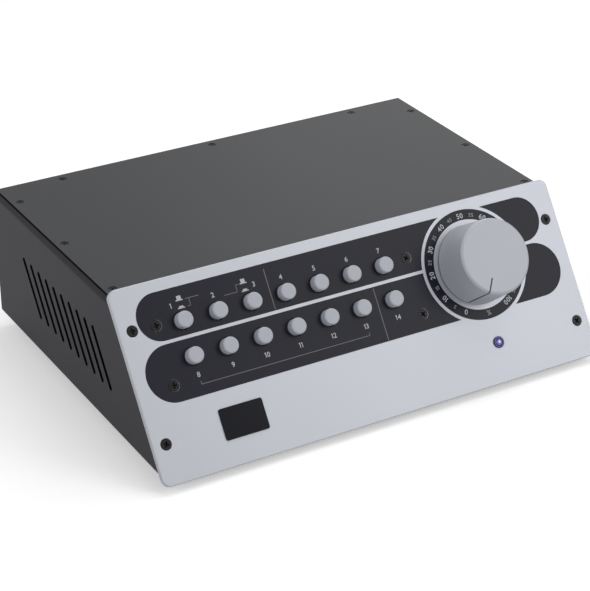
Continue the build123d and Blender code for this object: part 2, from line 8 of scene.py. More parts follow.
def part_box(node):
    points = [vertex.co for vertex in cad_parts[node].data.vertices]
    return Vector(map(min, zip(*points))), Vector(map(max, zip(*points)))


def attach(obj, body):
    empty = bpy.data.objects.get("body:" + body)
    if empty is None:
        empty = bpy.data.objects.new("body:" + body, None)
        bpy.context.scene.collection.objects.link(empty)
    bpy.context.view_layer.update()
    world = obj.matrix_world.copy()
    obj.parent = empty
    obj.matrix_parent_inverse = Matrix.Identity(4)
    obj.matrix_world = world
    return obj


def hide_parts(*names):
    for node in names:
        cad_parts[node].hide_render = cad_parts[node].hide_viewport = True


# A desktop monitor controller, dressed piece by piece in the order in which it is put together: panel, print,
# buttons, dial and knob, lamp and badge, case, back, feet and inside.

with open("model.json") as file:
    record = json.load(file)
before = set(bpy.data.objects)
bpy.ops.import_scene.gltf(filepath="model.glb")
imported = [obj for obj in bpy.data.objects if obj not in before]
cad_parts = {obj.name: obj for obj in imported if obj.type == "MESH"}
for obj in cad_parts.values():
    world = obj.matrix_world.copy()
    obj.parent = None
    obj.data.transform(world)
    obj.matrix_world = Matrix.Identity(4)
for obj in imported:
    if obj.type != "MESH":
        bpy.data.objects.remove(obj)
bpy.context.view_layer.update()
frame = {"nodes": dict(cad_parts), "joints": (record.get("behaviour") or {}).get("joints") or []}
nodes = frame["nodes"]
mm = 0.001


# ---- Stage ----
# A plain white floor under a white surround, a large soft lamp overhead and softer ones at the front and sides.
# The camera stands in front of the left end, well above the table, with a long lens.

scene = bpy.context.scene
scene.view_settings.view_transform = "Standard"


def placed(name, data):
    """A new object of this data, in the scene."""
    thing = bpy.data.objects.new(name, data)
    scene.collection.objects.link(thing)
    return thing


camera_data = bpy.data.cameras.new("camera")
camera_data.sensor_fit, camera_data.sensor_height, camera_data.lens = "VERTICAL", 36.0, 121.77
camera_data.shift_x, camera_data.shift_y = -0.0127, 0.0257
camera = placed("camera", camera_data)
camera.location = (-0.60746, -1.04176, 0.68046)
camera.rotation_euler = (radians(61.4074), radians(-0.2028), radians(-30.4164))
scene.camera = camera


def seen_or_mirrored(tree):
    """1 for rays from the camera and for those seen in gloss or through glass, and 0 for light on a surface."""
    path = tree.nodes.new("ShaderNodeLightPath")
    either = tree.nodes.new("ShaderNodeMath")
    either.operation = "MAXIMUM"
    every = tree.nodes.new("ShaderNodeMath")
    every.operation = "MAXIMUM"
    tree.links.new(path.outputs["Is Camera Ray"], either.inputs[0])
    tree.links.new(path.outputs["Is Glossy Ray"], either.inputs[1])
    tree.links.new(either.outputs[0], every.inputs[0])
    tree.links.new(path.outputs["Is Transmission Ray"], every.inputs[1])
    return every.outputs[0]


world = bpy.data.worlds.new("surround")
world.use_nodes = True
scene.world = world
tree = world.node_tree
tree.nodes.clear()
light_level, white_level = 0.30, 1.0
for_light = tree.nodes.new("ShaderNodeBackground")
for_light.inputs["Strength"].default_value = light_level
for_eye = tree.nodes.new("ShaderNodeBackground")
for_eye.inputs["Strength"].default_value = white_level
for background in (for_light, for_eye):
    background.inputs["Color"].default_value = (1, 1, 1, 1)
choice = tree.nodes.new("ShaderNodeMixShader")
out = tree.nodes.new("ShaderNodeOutputWorld")
tree.links.new(seen_or_mirrored(tree), choice.inputs[0])
tree.links.new(for_light.outputs[0], choice.inputs[1])
tree.links.new(for_eye.outputs[0], choice.inputs[2])
tree.links.new(choice.outputs[0], out.inputs["Surface"])

floor_mesh = bpy.data.meshes.new("floor")
reach = 6.0
corners = [(-reach, -reach, 0), (reach, -reach, 0), (reach, reach, 0), (-reach, reach, 0)]
floor_mesh.from_pydata(corners, [], [(0, 1, 2, 3)])
floor = placed("floor", floor_mesh)
paper = bpy.data.materials.new("white_floor")
paper.use_nodes = True
tree = paper.node_tree
shader = tree.nodes["Principled BSDF"]
shader.inputs["Base Color"].default_value = (0.86, 0.86, 0.86, 1)
shader.inputs["Roughness"].default_value = 0.9
shader.inputs["Specular IOR Level"].default_value = 0.1
shader.inputs["Emission Color"].default_value = (1, 1, 1, 1)
near_glow, far_glow, near_reach, far_reach = 0.40, 0.75, 0.6, 2.4
where = tree.nodes.new("ShaderNodeTexCoord")
away = tree.nodes.new("ShaderNodeVectorMath")
away.operation = "LENGTH"
level = tree.nodes.new("ShaderNodeMapRange")
level.interpolation_type = "SMOOTHSTEP"
level.inputs["From Min"].default_value, level.inputs["From Max"].default_value = near_reach, far_reach
level.inputs["To Min"].default_value, level.inputs["To Max"].default_value = near_glow, far_glow
tree.links.new(where.outputs["Object"], away.inputs[0])
tree.links.new(away.outputs["Value"], level.inputs["Value"])
glow = tree.nodes.new("ShaderNodeMath")
glow.operation = "MULTIPLY"
tree.links.new(seen_or_mirrored(tree), glow.inputs[0])
tree.links.new(level.outputs["Result"], glow.inputs[1])
tree.links.new(glow.outputs[0], shader.inputs["Emission Strength"])
floor_mesh.materials.append(paper)

lamp_aim = Vector((0, 0, 0.05))
for name, place, size, power in (
    ("lamp_over", (0.6, 0.2, 1.8), 1.6, 13.8),
    ("lamp_front_right", (0.9, -1.1, 0.9), 0.7, 4.8),
    ("lamp_left", (-1.5, 0.0, 0.9), 1.0, 5.0),
    ("lamp_back_right", (1.1, 1.3, 0.95), 0.9, 2.2),
):
    lamp_data = bpy.data.lights.new(name, "AREA")
    lamp_data.shape, lamp_data.size, lamp_data.energy = "SQUARE", size, power
    lamp = placed(name, lamp_data)
    lamp.location = place
    lamp.rotation_euler = (Vector(place) - lamp_aim).to_track_quat("Z", "Y").to_euler()


# ---- Front panel ----
# A flat aluminium plate, 4 mm thick, bead-blasted and clear anodised, with finely rounded edges. It leans back on
# the case's front lips, held by a countersunk screw in each corner. The walls of the buttons' holes take the black
# ink as painted shade, for the dark gap and shadow round each cap.

turn = next(joint for joint in frame["joints"] if joint["name"] == "volume_turn")
outwards = -Vector(turn["axis"])
rightwards = Vector((1, 0, 0))
upwards = outwards.cross(rightwards)
dial_v = 81.1 * mm
dial_u = turn["pos_m"][0]
panel_origin = Vector(turn["pos_m"]) - dial_u * rightwards - dial_v * upwards
panel_place = Matrix((rightwards, upwards, outwards)).transposed().to_4x4()
panel_place.translation = panel_origin

panel_width, panel_height, panel_thickness = 330 * mm, 125 * mm, 4 * mm
panel_corner, panel_edge = 5.6 * mm, 0.6 * mm
cap_hole_radius, screw_hole_radius, lamp_hole_radius, shaft_hole_radius = 6.0 * mm, 3.6 * mm, 2.55 * mm, 4.6 * mm
side_screw_x = 156.0 * mm
corner_screws = [(side * side_screw_x, v * mm) for v in (25.6, 97.5) for side in (-1, 1)]
field_screws = [(u * mm, v * mm) for u in (-140.0, 42.7) for v in (58.7, 97.0)]


def on_panel(node):
    """The middle of a node, in the panel's own frame."""
    low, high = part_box(node)
    return panel_place.inverted() @ ((low + high) / 2)


caps = [f"button_cap_{number:02d}" for number in range(1, 15)]
cap_places = [on_panel(cap).to_2d() for cap in caps]
lamp_place = on_panel("power_lamp").to_2d()


def arc(x, y, radius, start, end, steps=16):
    """Points along an arc, with its angles in degrees."""
    angles = [radians(start + (end - start) * step / steps) for step in range(steps + 1)]
    return [(x + radius * cos(a), y + radius * sin(a)) for a in angles]


def circle(place, radius, sides=64):
    """A closed loop of points round a place."""
    return arc(place[0], place[1], radius, 0, 360, sides)[:-1]


def rounded(width, height, radius, x=0.0, y=0.0):
    """A closed rectangular loop with round corners, about a middle."""
    a, b = width / 2 - radius, height / 2 - radius
    return [
        point
        for cx, cy, start in ((a, b, 0), (-a, b, 90), (-a, -b, 180), (a, -b, 270))
        for point in arc(x + cx, y + cy, radius, start, start + 90, 8)
    ]


def settled(thing):
    """The mesh of an object with its modifiers applied."""
    return bpy.data.meshes.new_from_object(thing.evaluated_get(bpy.context.evaluated_depsgraph_get()))


def piece(name, mesh, material=None, angle=30.0):
    """An object of this mesh, smooth except at edges sharper than an angle, with its large faces kept flat."""
    if material:
        mesh.materials.clear()
        mesh.materials.append(material)
    mesh.shade_smooth()
    mesh.set_sharp_from_angle(angle=radians(angle))
    thing = placed(name, mesh)
    weights = thing.modifiers.new("large_faces_flat", "WEIGHTED_NORMAL")
    weights.keep_sharp, weights.weight = True, 100
    mesh = settled(thing)
    thing.modifiers.clear()
    thing.data = mesh
    mesh.name = name
    return thing


def fixed(thing, node=None, body="case"):
    """A piece that rides on a body and the node that it stands in for."""
    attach(thing, body)
    if node:
        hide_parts(node)
    return thing


def coated(mesh, main, other, picked):
    """Gives a mesh its main finish, and another on the faces that a test picks."""
    mesh.materials.clear()
    mesh.materials.append(main)
    mesh.materials.append(other)
    for face in mesh.polygons:
        if picked(face):
            face.material_index = 1


def cut_sheet(loops, thickness, edge=0.0):
    """The mesh of a flat plate with holes, from its face at z = 0 down, with rounded edges."""
    curve = bpy.data.curves.new("sheet", "CURVE")
    curve.dimensions, curve.fill_mode = "2D", "BOTH"
    curve.extrude = thickness / 2 - edge
    curve.bevel_depth, curve.bevel_resolution, curve.offset = edge, 2, -edge
    for loop in loops:
        spline = curve.splines.new("POLY")
        spline.points.add(len(loop) - 1)
        for point, (x, y) in zip(spline.points, loop):
            point.co = (x, y, 0, 1)
        spline.use_cyclic_u = True
    blank = bpy.data.objects.new("sheet", curve)
    mesh = bpy.data.meshes.new_from_object(blank)
    shape = bmesh.new()
    shape.from_mesh(mesh)
    bmesh.ops.remove_doubles(shape, verts=shape.verts, dist=0.001 * mm)
    bmesh.ops.translate(shape, verts=shape.verts, vec=(0, 0, -thickness / 2))
    bmesh.ops.recalc_face_normals(shape, faces=shape.faces)
    shape.to_mesh(mesh)
    shape.free()
    bpy.data.objects.remove(blank)
    bpy.data.curves.remove(curve)
    return mesh


def finish(
    name, colour, metallic=0.0, roughness=0.5, grain=0.3 * mm, depth=0.01 * mm, uneven=0.06, gloss=0.5
):
    """A finish whose fine grain roughens its surface, and whose colour varies a little over its breadth."""
    material = bpy.data.materials.new(name)
    material.use_nodes = True
    tree = material.node_tree
    shader = tree.nodes["Principled BSDF"]
    shader.inputs["Metallic"].default_value = metallic
    shader.inputs["Specular IOR Level"].default_value = gloss
    where = tree.nodes.new("ShaderNodeTexCoord")
    fine = tree.nodes.new("ShaderNodeTexNoise")
    fine.inputs["Scale"].default_value = 1 / grain
    fine.inputs["Detail"].default_value = 3.0
    broad = tree.nodes.new("ShaderNodeTexNoise")
    broad.inputs["Scale"].default_value = 14.0
    broad.inputs["Detail"].default_value = 4.0
    bump = tree.nodes.new("ShaderNodeBump")
    bump.inputs["Distance"].default_value = depth
    tint = tree.nodes.new("ShaderNodeMix")
    tint.data_type = "RGBA"
    tint.inputs[6].default_value = (*[c * (1 - uneven) for c in colour], 1)
    tint.inputs[7].default_value = (*[min(1, c * (1 + uneven)) for c in colour], 1)
    sheen = tree.nodes.new("ShaderNodeMapRange")
    sheen.inputs["To Min"].default_value = roughness * (1 - uneven)
    sheen.inputs["To Max"].default_value = min(1, roughness * (1 + uneven))
    link = tree.links.new
    link(where.outputs["Object"], fine.inputs["Vector"])
    link(where.outputs["Object"], broad.inputs["Vector"])
    link(fine.outputs["Fac"], bump.inputs["Height"])
    link(broad.outputs["Fac"], tint.inputs[0])
    link(fine.outputs["Fac"], sheen.inputs["Value"])
    link(tint.outputs[2], shader.inputs["Base Color"])
    link(sheen.outputs["Result"], shader.inputs["Roughness"])
    link(bump.outputs["Normal"], shader.inputs["Normal"])
    return material


blasted_aluminium = finish(
    "blasted_aluminium", (0.427, 0.439, 0.479), metallic=0.6, roughness=0.48,
    grain=0.25 * mm, depth=0.004 * mm, uneven=0.02,
)
# Satin black ink for the fields and the dial ring. Its blue tint is a painted reflection.
black_print_and_painted_light = finish(
    "black_print_and_painted_light", (0.005, 0.0055, 0.013), roughness=0.4, grain=0.2 * mm, depth=0.002 * mm, gloss=0.2
)
holes = [circle(place, cap_hole_radius) for place in cap_places]
holes += [circle(place, screw_hole_radius) for place in corner_screws + field_screws]
holes += [circle(lamp_place, lamp_hole_radius), circle((dial_u, dial_v), shaft_hole_radius)]
outline = rounded(panel_width, panel_height, panel_corner, 0, panel_height / 2)
mesh = cut_sheet([outline] + holes, panel_thickness, panel_edge)
# The walls of the buttons' holes take the black ink as painted shade, for the dark gap and shadow round each cap.
shaded_wall_reach = cap_hole_radius + 0.01 * mm
coated(
    mesh, blasted_aluminium, black_print_and_painted_light,
    lambda face: any((face.center.to_2d() - place).length < shaded_wall_reach for place in cap_places),
)
mesh.transform(panel_place)
fixed(piece("front_plate", mesh), "front_panel")


# ---- Printed fields ----
# Two long black fields with round ends, screen-printed on the panel in satin ink. They stop short of the dial all
# the way round, and leave the holes for the buttons and the screws bare. Thin grey rules divide the buttons.

print_thickness = 0.03 * mm
clear_radius = 39.8 * mm
fields = ((-151.6, 151.1, 86.6, 117.4), (-156.4, 155.9, 47.9, 84.5))
rules = ((-59.0, 87.4, 114.0), (12.55, 48.5, 83.7))
rule_width, rule_corner, bare_rim = 0.6 * mm, 0.1 * mm, 0.15 * mm


def half_field(end_u, low_v, high_v):
    """One end of a field: a round end, and a hollow side that clears the dial."""
    side = 1 if end_u > 0 else -1
    radius = (high_v - low_v) / 2
    start = -90 if side > 0 else 90
    tip = arc(end_u - side * radius, low_v + radius, radius, start, start + 180, 48)
    high_angle = 180 / pi * asin((high_v - dial_v) / clear_radius)
    low_angle = 180 / pi * asin((low_v - dial_v) / clear_radius)
    if side > 0:
        return tip + arc(dial_u, dial_v, clear_radius, high_angle, low_angle, 40)
    return tip + arc(dial_u, dial_v, clear_radius, 180 - low_angle, 180 - high_angle, 40)


def inside(place, loop):
    """Whether a place lies within a closed loop."""
    crossings = 0
    for (x1, y1), (x2, y2) in zip(loop, loop[1:] + loop[:1]):
        if (y1 > place[1]) != (y2 > place[1]) and place[0] < x1 + (place[1] - y1) * (x2 - x1) / (y2 - y1):
            crossings += 1
    return crossings % 2 == 1


def written(shape):
    """The mesh of a finished bmesh."""
    mesh = bpy.data.meshes.new("shape")
    shape.to_mesh(mesh)
    shape.free()
    return mesh


def joined(meshes):
    """One mesh of several."""
    shape = bmesh.new()
    for mesh in meshes:
        shape.from_mesh(mesh)
    return written(shape)


def ink(name, colour):
    """A dull screen-printing ink."""
    return finish(name, colour, roughness=0.6, grain=0.2 * mm, depth=0.002 * mm, gloss=0.3)


def shift(x, y, z):
    """A move by these lengths."""
    return Matrix.Translation((x, y, z))


def printed(name, mesh, colour, lift):
    """A film printed on the panel, its face at so many film thicknesses above the metal."""
    mesh.transform(panel_place @ shift(0, 0, lift * print_thickness))
    return fixed(piece(name, mesh, colour))


grey_print = ink("grey_print", (0.18, 0.18, 0.19))
gaps = [circle(place, cap_hole_radius) for place in cap_places]
gaps += [circle(place, screw_hole_radius + bare_rim) for place in field_screws]
middles = cap_places + field_screws
sheets = []
for left_u, right_u, low_v, high_v in fields:
    for end_u in (left_u, right_u):
        loop = half_field(end_u * mm, low_v * mm, high_v * mm)
        cuts = [gap for gap, middle in zip(gaps, middles) if inside(middle, loop)]
        sheets.append(cut_sheet([loop] + cuts, print_thickness))
printed("black_fields", joined(sheets), black_print_and_painted_light, 1)
lines = [
    rounded(rule_width, (high - low) * mm, rule_corner, u * mm, (low + high) / 2 * mm) for u, low, high in rules
]
printed("grey_rules", joined([cut_sheet([line], print_thickness) for line in lines]), grey_print, 2)


# ---- Dial ----
# A black printed ring round the volume knob, with its scale in pale ink: 0 at the lower left, 50 at the top and
# 100 at the lower right, with larger figures for the tens, and the sign for per cent at the bottom.

ring_inner, ring_outer, figure_radius = 30.6 * mm, 37.6 * mm, 33.5 * mm
ten_height, five_height = 3.5 * mm, 2.6 * mm
zero_angle, angle_per_five = -150.0, 15.0
boldness, figure_gap = 0.016, 0.16
one_outline = ((0.14, 0), (0.31, 0), (0.31, 1), (0.18, 1), (0, 0.87), (0, 0.71), (0.14, 0.8))


def figure(letter):
    """The mesh of one flat figure, one unit high and centred, and its width. The figure 1 has a flag."""
    if letter == "1":
        mesh = cut_sheet([one_outline], print_thickness)
    else:
        curve = bpy.data.curves.new("figure", "FONT")
        curve.body, curve.offset, curve.extrude = letter, boldness, print_thickness / 2
        blank = bpy.data.objects.new("figure", curve)
        mesh = bpy.data.meshes.new_from_object(blank)
        bpy.data.objects.remove(blank)
        bpy.data.curves.remove(curve)
    xs, ys = [v.co.x for v in mesh.vertices], [v.co.y for v in mesh.vertices]
    left, low, tall = min(xs), min(ys), max(ys) - min(ys)
    mesh.transform(Matrix.Diagonal((1 / tall, 1 / tall, 1, 1)) @ shift(-left, -(low + max(ys)) / 2, 0))
    return mesh, (max(xs) - left) / tall


def figures(marks):
    """The mesh of flat printed figures: each mark is its text, height, middle and turn in degrees."""
    meshes = []
    for text, height, x, y, turned_by in marks:
        signs = [figure(letter) for letter in text]
        pen = -(sum(width for _, width in signs) + figure_gap * (len(signs) - 1)) / 2
        place = shift(x, y, 0) @ Matrix.Rotation(radians(turned_by), 4, "Z")
        for mesh, width in signs:
            mesh.transform(place @ Matrix.Diagonal((height, height, 1, 1)) @ shift(pen, 0, 0))
            pen += width + figure_gap
            meshes.append(mesh)
    return joined(meshes)


rims = [circle((dial_u, dial_v), radius, 128) for radius in (ring_outer, ring_inner)]
printed("dial_ring", cut_sheet(rims, print_thickness), black_print_and_painted_light, 1)
pale_print = ink("pale_print", (0.57, 0.58, 0.61))
dim_print = ink("dim_print", (0.31, 0.31, 0.33))
tens, fives = [], []
for value in range(0, 101, 5):
    turned_by = zero_angle + angle_per_five * value / 5
    x, y = dial_u + figure_radius * sin(radians(turned_by)), dial_v + figure_radius * cos(radians(turned_by))
    if value % 10:
        fives.append((str(value), five_height, x, y, -turned_by))
    else:
        tens.append((str(value), ten_height, x, y, -turned_by))
fives.append(("%", ten_height, dial_u, dial_v - figure_radius, 180))
printed("dial_tens", figures(tens), pale_print, 1.5)
printed("dial_fives", figures(fives), dim_print, 1.5)


# ---- Button marks ----
# Plain numbers in pale ink, above the upper buttons and below the lower ones. The first and third also show a
# button standing out and one pushed in, and thin brackets join them to the second.

number_height, upper_number_v, lower_number_v = 3.3 * mm, 106.4 * mm, 61.2 * mm
symbol_places = ((-120.4, 109.8, 3.2), (-120.3, 104.8, 1.7), (-75.3, 109.8, 3.2), (-75.3, 104.8, 1.7))
symbol_base, symbol_foot, symbol_top = 5.0 * mm, 0.7 * mm, 3.0 * mm
bracket_width = 0.45 * mm
brackets = (
    ((-107.2, 108.7), (-116.2, 108.7)), ((-113.9, 108.7), (-113.9, 103.9)), ((-113.9, 103.9), (-115.6, 103.9)),
    ((-89.8, 104.2), (-80.8, 104.2)), ((-80.8, 104.2), (-80.8, 108.7)), ((-80.8, 108.7), (-79.0, 108.7)),
    ((-122.0, 54.9), (0.4, 54.9)), ((-122.0, 54.9), (-122.0, 56.6)), ((0.4, 54.9), (0.4, 56.6)),
)


def bar(start, end, width):
    """A thin upright or level strip between two places."""
    (x1, y1), (x2, y2) = start, end
    half = width / 2
    low, high = (min(x1, x2) - half, min(y1, y2) - half), (max(x1, x2) + half, max(y1, y2) + half)
    return [low, (high[0], low[1]), high, (low[0], high[1])]


marks = []
for number, place in enumerate(cap_places, start=1):
    v = upper_number_v if number <= 7 else lower_number_v
    sideways = {1: -5.0 * mm, 3: 4.9 * mm}.get(number, 0)
    marks.append((str(number), number_height, place.x + sideways, v, 0))
prints = [figures(marks)]
for u, v, height in symbol_places:
    u, v, top, foot = u * mm, v * mm, symbol_top / 2, symbol_base / 2
    low, middle, high = v - 1.5 * mm, v - 1.5 * mm + symbol_foot, v - 1.5 * mm + height * mm
    shape = [(u - foot, low), (u + foot, low), (u + foot, middle), (u + top, middle), (u + top, high)]
    prints.append(cut_sheet([shape + [(u - top, high), (u - top, middle), (u - foot, middle)]], print_thickness))
printed("button_marks", joined(prints), pale_print, 1.5)
strips = [bar([c * mm for c in start], [c * mm for c in end], bracket_width) for start, end in brackets]
printed("bracket_marks", joined([cut_sheet([strip], print_thickness) for strip in strips]), grey_print, 2)


# ---- Push buttons ----
# Fourteen round caps, moulded in silver grey plastic with a softly rounded edge and a flat face. Each is pressed
# on the plunger of its own switch, behind a clear hole in the panel.

cap_radius, cap_stand_out, cap_skirt, cap_edge, skirt_edge = 5.3 * mm, 6.0 * mm, 2.5 * mm, 1.05 * mm, 0.2 * mm


def plain(node, material):
    """Gives a finish to a node that keeps its own shape."""
    nodes[node].material_slots[0].material = material


def skinned(rings, closed=False):
    """The mesh of a skin from ring to ring of places, and from the last to the first if it is closed."""
    shape = bmesh.new()
    rings = [[shape.verts.new(place) for place in ring] for ring in rings]
    sides = max(len(ring) for ring in rings)
    for upper, lower in zip(rings, rings[1:] + rings[:closed]):
        for side in range(sides):
            after = (side + 1) % sides
            corners = [upper[side % len(upper)], lower[side % len(lower)]]
            corners += [lower[after % len(lower)], upper[after % len(upper)]]
            corners = list(dict.fromkeys(corners))
            if len(corners) > 2:
                shape.faces.new(corners)
    bmesh.ops.recalc_face_normals(shape, faces=shape.faces)
    return written(shape)


def turned(profile, sides, closed=False):
    """The mesh of a piece turned about z from (radius, height) pairs, which end on the axis or make a loop."""
    rings = []
    for radius, height in profile:
        spokes = [2 * pi * side / sides for side in range(sides)] if radius > 0 else [0.0]
        rings.append([(radius * cos(a), radius * sin(a), height) for a in spokes])
    return skinned(rings, closed)


def repeat_tree():
    """Geometry Nodes: a copy of Item on every point, spun about its own axis by up to Spin at random."""
    tree = bpy.data.node_groups.new("repeat_on_points", "GeometryNodeTree")
    for name, kind in (
        ("Points", "NodeSocketGeometry"), ("Item", "NodeSocketObject"),
        ("Spin", "NodeSocketFloat"), ("Material", "NodeSocketMaterial"),
    ):
        tree.interface.new_socket(name, in_out="INPUT", socket_type=kind)
    tree.interface.new_socket("Result", in_out="OUTPUT", socket_type="NodeSocketGeometry")
    entry, leave = tree.nodes.new("NodeGroupInput"), tree.nodes.new("NodeGroupOutput")
    item = tree.nodes.new("GeometryNodeObjectInfo")
    chance = tree.nodes.new("FunctionNodeRandomValue")
    chance.data_type = "FLOAT"
    chance.inputs["Seed"].default_value = 7
    spin = tree.nodes.new("FunctionNodeAxisAngleToRotation")
    spin.inputs["Axis"].default_value = (0, 0, 1)
    copies = tree.nodes.new("GeometryNodeInstanceOnPoints")
    real = tree.nodes.new("GeometryNodeRealizeInstances")
    coat = tree.nodes.new("GeometryNodeSetMaterial")
    link = tree.links.new
    link(entry.outputs["Points"], copies.inputs["Points"])
    link(entry.outputs["Item"], item.inputs["Object"])
    link(item.outputs["Geometry"], copies.inputs["Instance"])
    link(entry.outputs["Spin"], chance.inputs[3])
    link(chance.outputs[1], spin.inputs["Angle"])
    link(spin.outputs["Rotation"], copies.inputs["Rotation"])
    link(copies.outputs["Instances"], real.inputs["Geometry"])
    link(real.outputs["Geometry"], coat.inputs["Geometry"])
    link(entry.outputs["Material"], coat.inputs["Material"])
    link(coat.outputs["Geometry"], leave.inputs["Result"])
    return tree


repeat = repeat_tree()


def repeated(name, item_mesh, places, place, material, spin=0.0):
    """Copies of an item at points of a surface's own frame, as one object put where that surface is."""
    item = bpy.data.objects.new("item", item_mesh)
    points = bpy.data.meshes.new("points")
    points.from_pydata([(*point, 0)[:3] for point in places], [], [])
    base = placed("base", points)
    modifier = base.modifiers.new("repeat", "NODES")
    modifier.node_group = repeat
    sockets = {s.name: s.identifier for s in repeat.interface.items_tree if s.item_type == "SOCKET"}
    modifier[sockets["Item"]] = item
    modifier[sockets["Spin"]] = spin
    modifier[sockets["Material"]] = material
    mesh = settled(base)
    mesh.transform(place)
    bpy.data.objects.remove(base)
    bpy.data.objects.remove(item)
    return piece(name, mesh, material)


cap_silver = finish("cap_silver", (0.51, 0.53, 0.59), depth=0.004 * mm, uneven=0.02)
profile = [(0, cap_stand_out), (cap_radius * 0.5, cap_stand_out)]
profile += arc(cap_radius - cap_edge, cap_stand_out - cap_edge, cap_edge, 90, 0, 6)
profile += [(cap_radius, skirt_edge - cap_skirt), (cap_radius - skirt_edge, -cap_skirt), (0, -cap_skirt)]
cap_mesh = turned(profile, 64)
for number, (cap, place) in enumerate(zip(caps, cap_places), start=1):
    button = repeated(f"round_cap_{number:02d}", cap_mesh, [place], panel_place, cap_silver)
    fixed(button, cap, f"button_{number:02d}")

black_moulding = finish("black_moulding", (0.02, 0.02, 0.021), grain=0.4 * mm, depth=0.006 * mm)
for number in range(1, 15):
    plain(f"switch_plunger_{number:02d}", black_moulding)


# ---- Panel screws ----
# Eight countersunk steel screws with a cross recess, blackened. Four in the corners hold the panel to the case,
# and four at the ends of the rows of buttons hold the control board's spacers.

# A screw's sizes: its head's radius and depth, and its cross's width, reach and depth
panel_screw, head_sink = (3.45 * mm, 2.0 * mm, 1.1 * mm, 2.1 * mm, 1.7 * mm), 0.15 * mm
head_rim, cross_taper, cut_extra = 0.12 * mm, 0.55, 0.3 * mm


def without(body_mesh, cutter_meshes):
    """The first mesh with the others cut out of it. Their walls keep the cutters' materials."""
    body = placed("body", body_mesh)
    tools = [placed("cutter", cutter_mesh) for cutter_mesh in cutter_meshes]
    for cutter in tools:
        cut = body.modifiers.new("cut", "BOOLEAN")
        cut.operation, cut.object, cut.solver = "DIFFERENCE", cutter, "EXACT"
        cut.material_mode = "TRANSFER"
    mesh = settled(body)
    for thing in [body] + tools:
        bpy.data.objects.remove(thing)
    return mesh


def cross_mesh(width, across, recess, top=0.0):
    """What a cross recess takes away below a height: four arms that narrow towards its bottom."""
    a, b = width / 2, across
    loop = [(b, -a), (b, a), (a, a), (a, b), (-a, b), (-a, a)]
    mesh = cut_sheet([loop + [(-x, -y) for x, y in loop]], recess + cut_extra)
    for vertex in mesh.vertices:
        if vertex.co.z < -recess / 2:
            vertex.co.x *= cross_taper
            vertex.co.y *= cross_taper
        vertex.co.z += top + cut_extra
    return mesh


def screw_mesh(radius, depth, width, across, recess):
    """A countersunk head with a softly rounded rim and a cross recess, its face at z = 0."""
    profile = [(0, 0), (radius - head_rim, 0), (radius, -head_rim), (radius * 0.45, -depth), (0, -depth)]
    return without(turned(profile, 48), [cross_mesh(width, across, min(recess, 0.85 * depth))])


black_steel = finish(
    "black_steel", (0.005, 0.005, 0.0065), roughness=0.36, grain=0.5 * mm, depth=0.004 * mm, gloss=0.2
)


def screwed(name, item, places, place, node=None, material=black_steel):
    """Like screw heads on a surface, each stopped at its own turn."""
    return fixed(repeated(name, item, places, place, material, spin=pi / 2), node)


sunk = panel_place @ shift(0, 0, -head_sink)
screwed("panel_screw_heads", screw_mesh(*panel_screw), corner_screws + field_screws, sunk, "corner_screws")


# ---- Volume knob ----
# A solid aluminium knob, turned with a slight taper and a soft edge, bead-blasted and clear anodised. A fine line
# cut over its face, edge and side is filled with black and points at the scale. A grub screw grips the shaft.

knob_foot, knob_radius, knob_height, knob_gap = 27.2 * mm, 25.6 * mm, 28.7 * mm, 0.8 * mm
knob_edge, foot_edge = 2.0 * mm, 0.3 * mm
line_start, line_width, line_depth = 15.2 * mm, 0.9 * mm, 0.4 * mm
line_angle = -150.0

turned_aluminium = finish(
    "turned_aluminium", (0.45, 0.468, 0.51), metallic=0.2, roughness=0.52,
    grain=0.25 * mm, depth=0.003 * mm, uneven=0.02,
)
black_fill = finish("black_fill", (0.012, 0.012, 0.013), roughness=0.6, depth=0.003 * mm)
profile = [(0, knob_height), (knob_radius * 0.5, knob_height)]
profile += arc(knob_radius - knob_edge, knob_height - knob_edge, knob_edge, 90, 0, 10)
profile += [(knob_foot, knob_gap + foot_edge), (knob_foot - foot_edge, knob_gap), (0, knob_gap)]
knob_mesh = turned(profile, 160)
knob_mesh.materials.append(turned_aluminium)
clear_top, clear_side = knob_height + 1 * mm, knob_foot + 2 * mm
groove = [(line_start, clear_top), (line_start, knob_height - line_depth)]
groove += arc(knob_radius - knob_edge, knob_height - knob_edge, knob_edge - line_depth, 90, 0, 8)
groove += [(knob_foot - line_depth, 0), (clear_side, 0), (clear_side, clear_top)]
cutter = cut_sheet([groove], line_width)
cutter.transform(Matrix.Rotation(radians(90), 4, "X") @ shift(0, 0, line_width / 2))
cutter.transform(Matrix.Rotation(radians(90 - line_angle), 4, "Z"))
cutter.materials.clear()
cutter.materials.append(black_fill)
mesh = without(knob_mesh, [cutter])
mesh.transform(panel_place @ shift(dial_u, dial_v, 0))
fixed(piece("turned_knob", mesh), "volume_knob", "volume")
plain("knob_grub_screw", black_steel)

plated_steel = finish(
    "plated_steel", (0.40, 0.40, 0.40), metallic=1.0, roughness=0.45, grain=0.5 * mm, depth=0.002 * mm
)
plain("pot_shaft", plated_steel)
plain("pot_nut", plated_steel)
plain("volume_pot", black_moulding)


# ---- Power lamp ----
# A lamp with a domed lens, 5 mm across, moulded in violet tinted plastic, with a lit core near the top of its
# dome. The core sits a little to the left, where a highlight falls, so its glow is partly the lamp's own light and
# partly a painted highlight. It is pressed into a dark plated collar whose edge is rolled over, and the collar
# into the panel.

lens_radius, lens_dome, lens_depth = 2.5 * mm, 1.8 * mm, 6.0 * mm
collar_radius, collar_height, collar_roll, collar_gap, lip = 4.0 * mm, 0.9 * mm, 0.5 * mm, 0.05 * mm, 0.2 * mm
# The glowing core is set to the left of the dome's top, where a highlight falls: it is partly a painted highlight.
core_highlight_offset, core_inner, core_outer, core_glow = Vector((-0.3, 0, 0.2)) * mm, 0.3 * mm, 1.3 * mm, 0.9

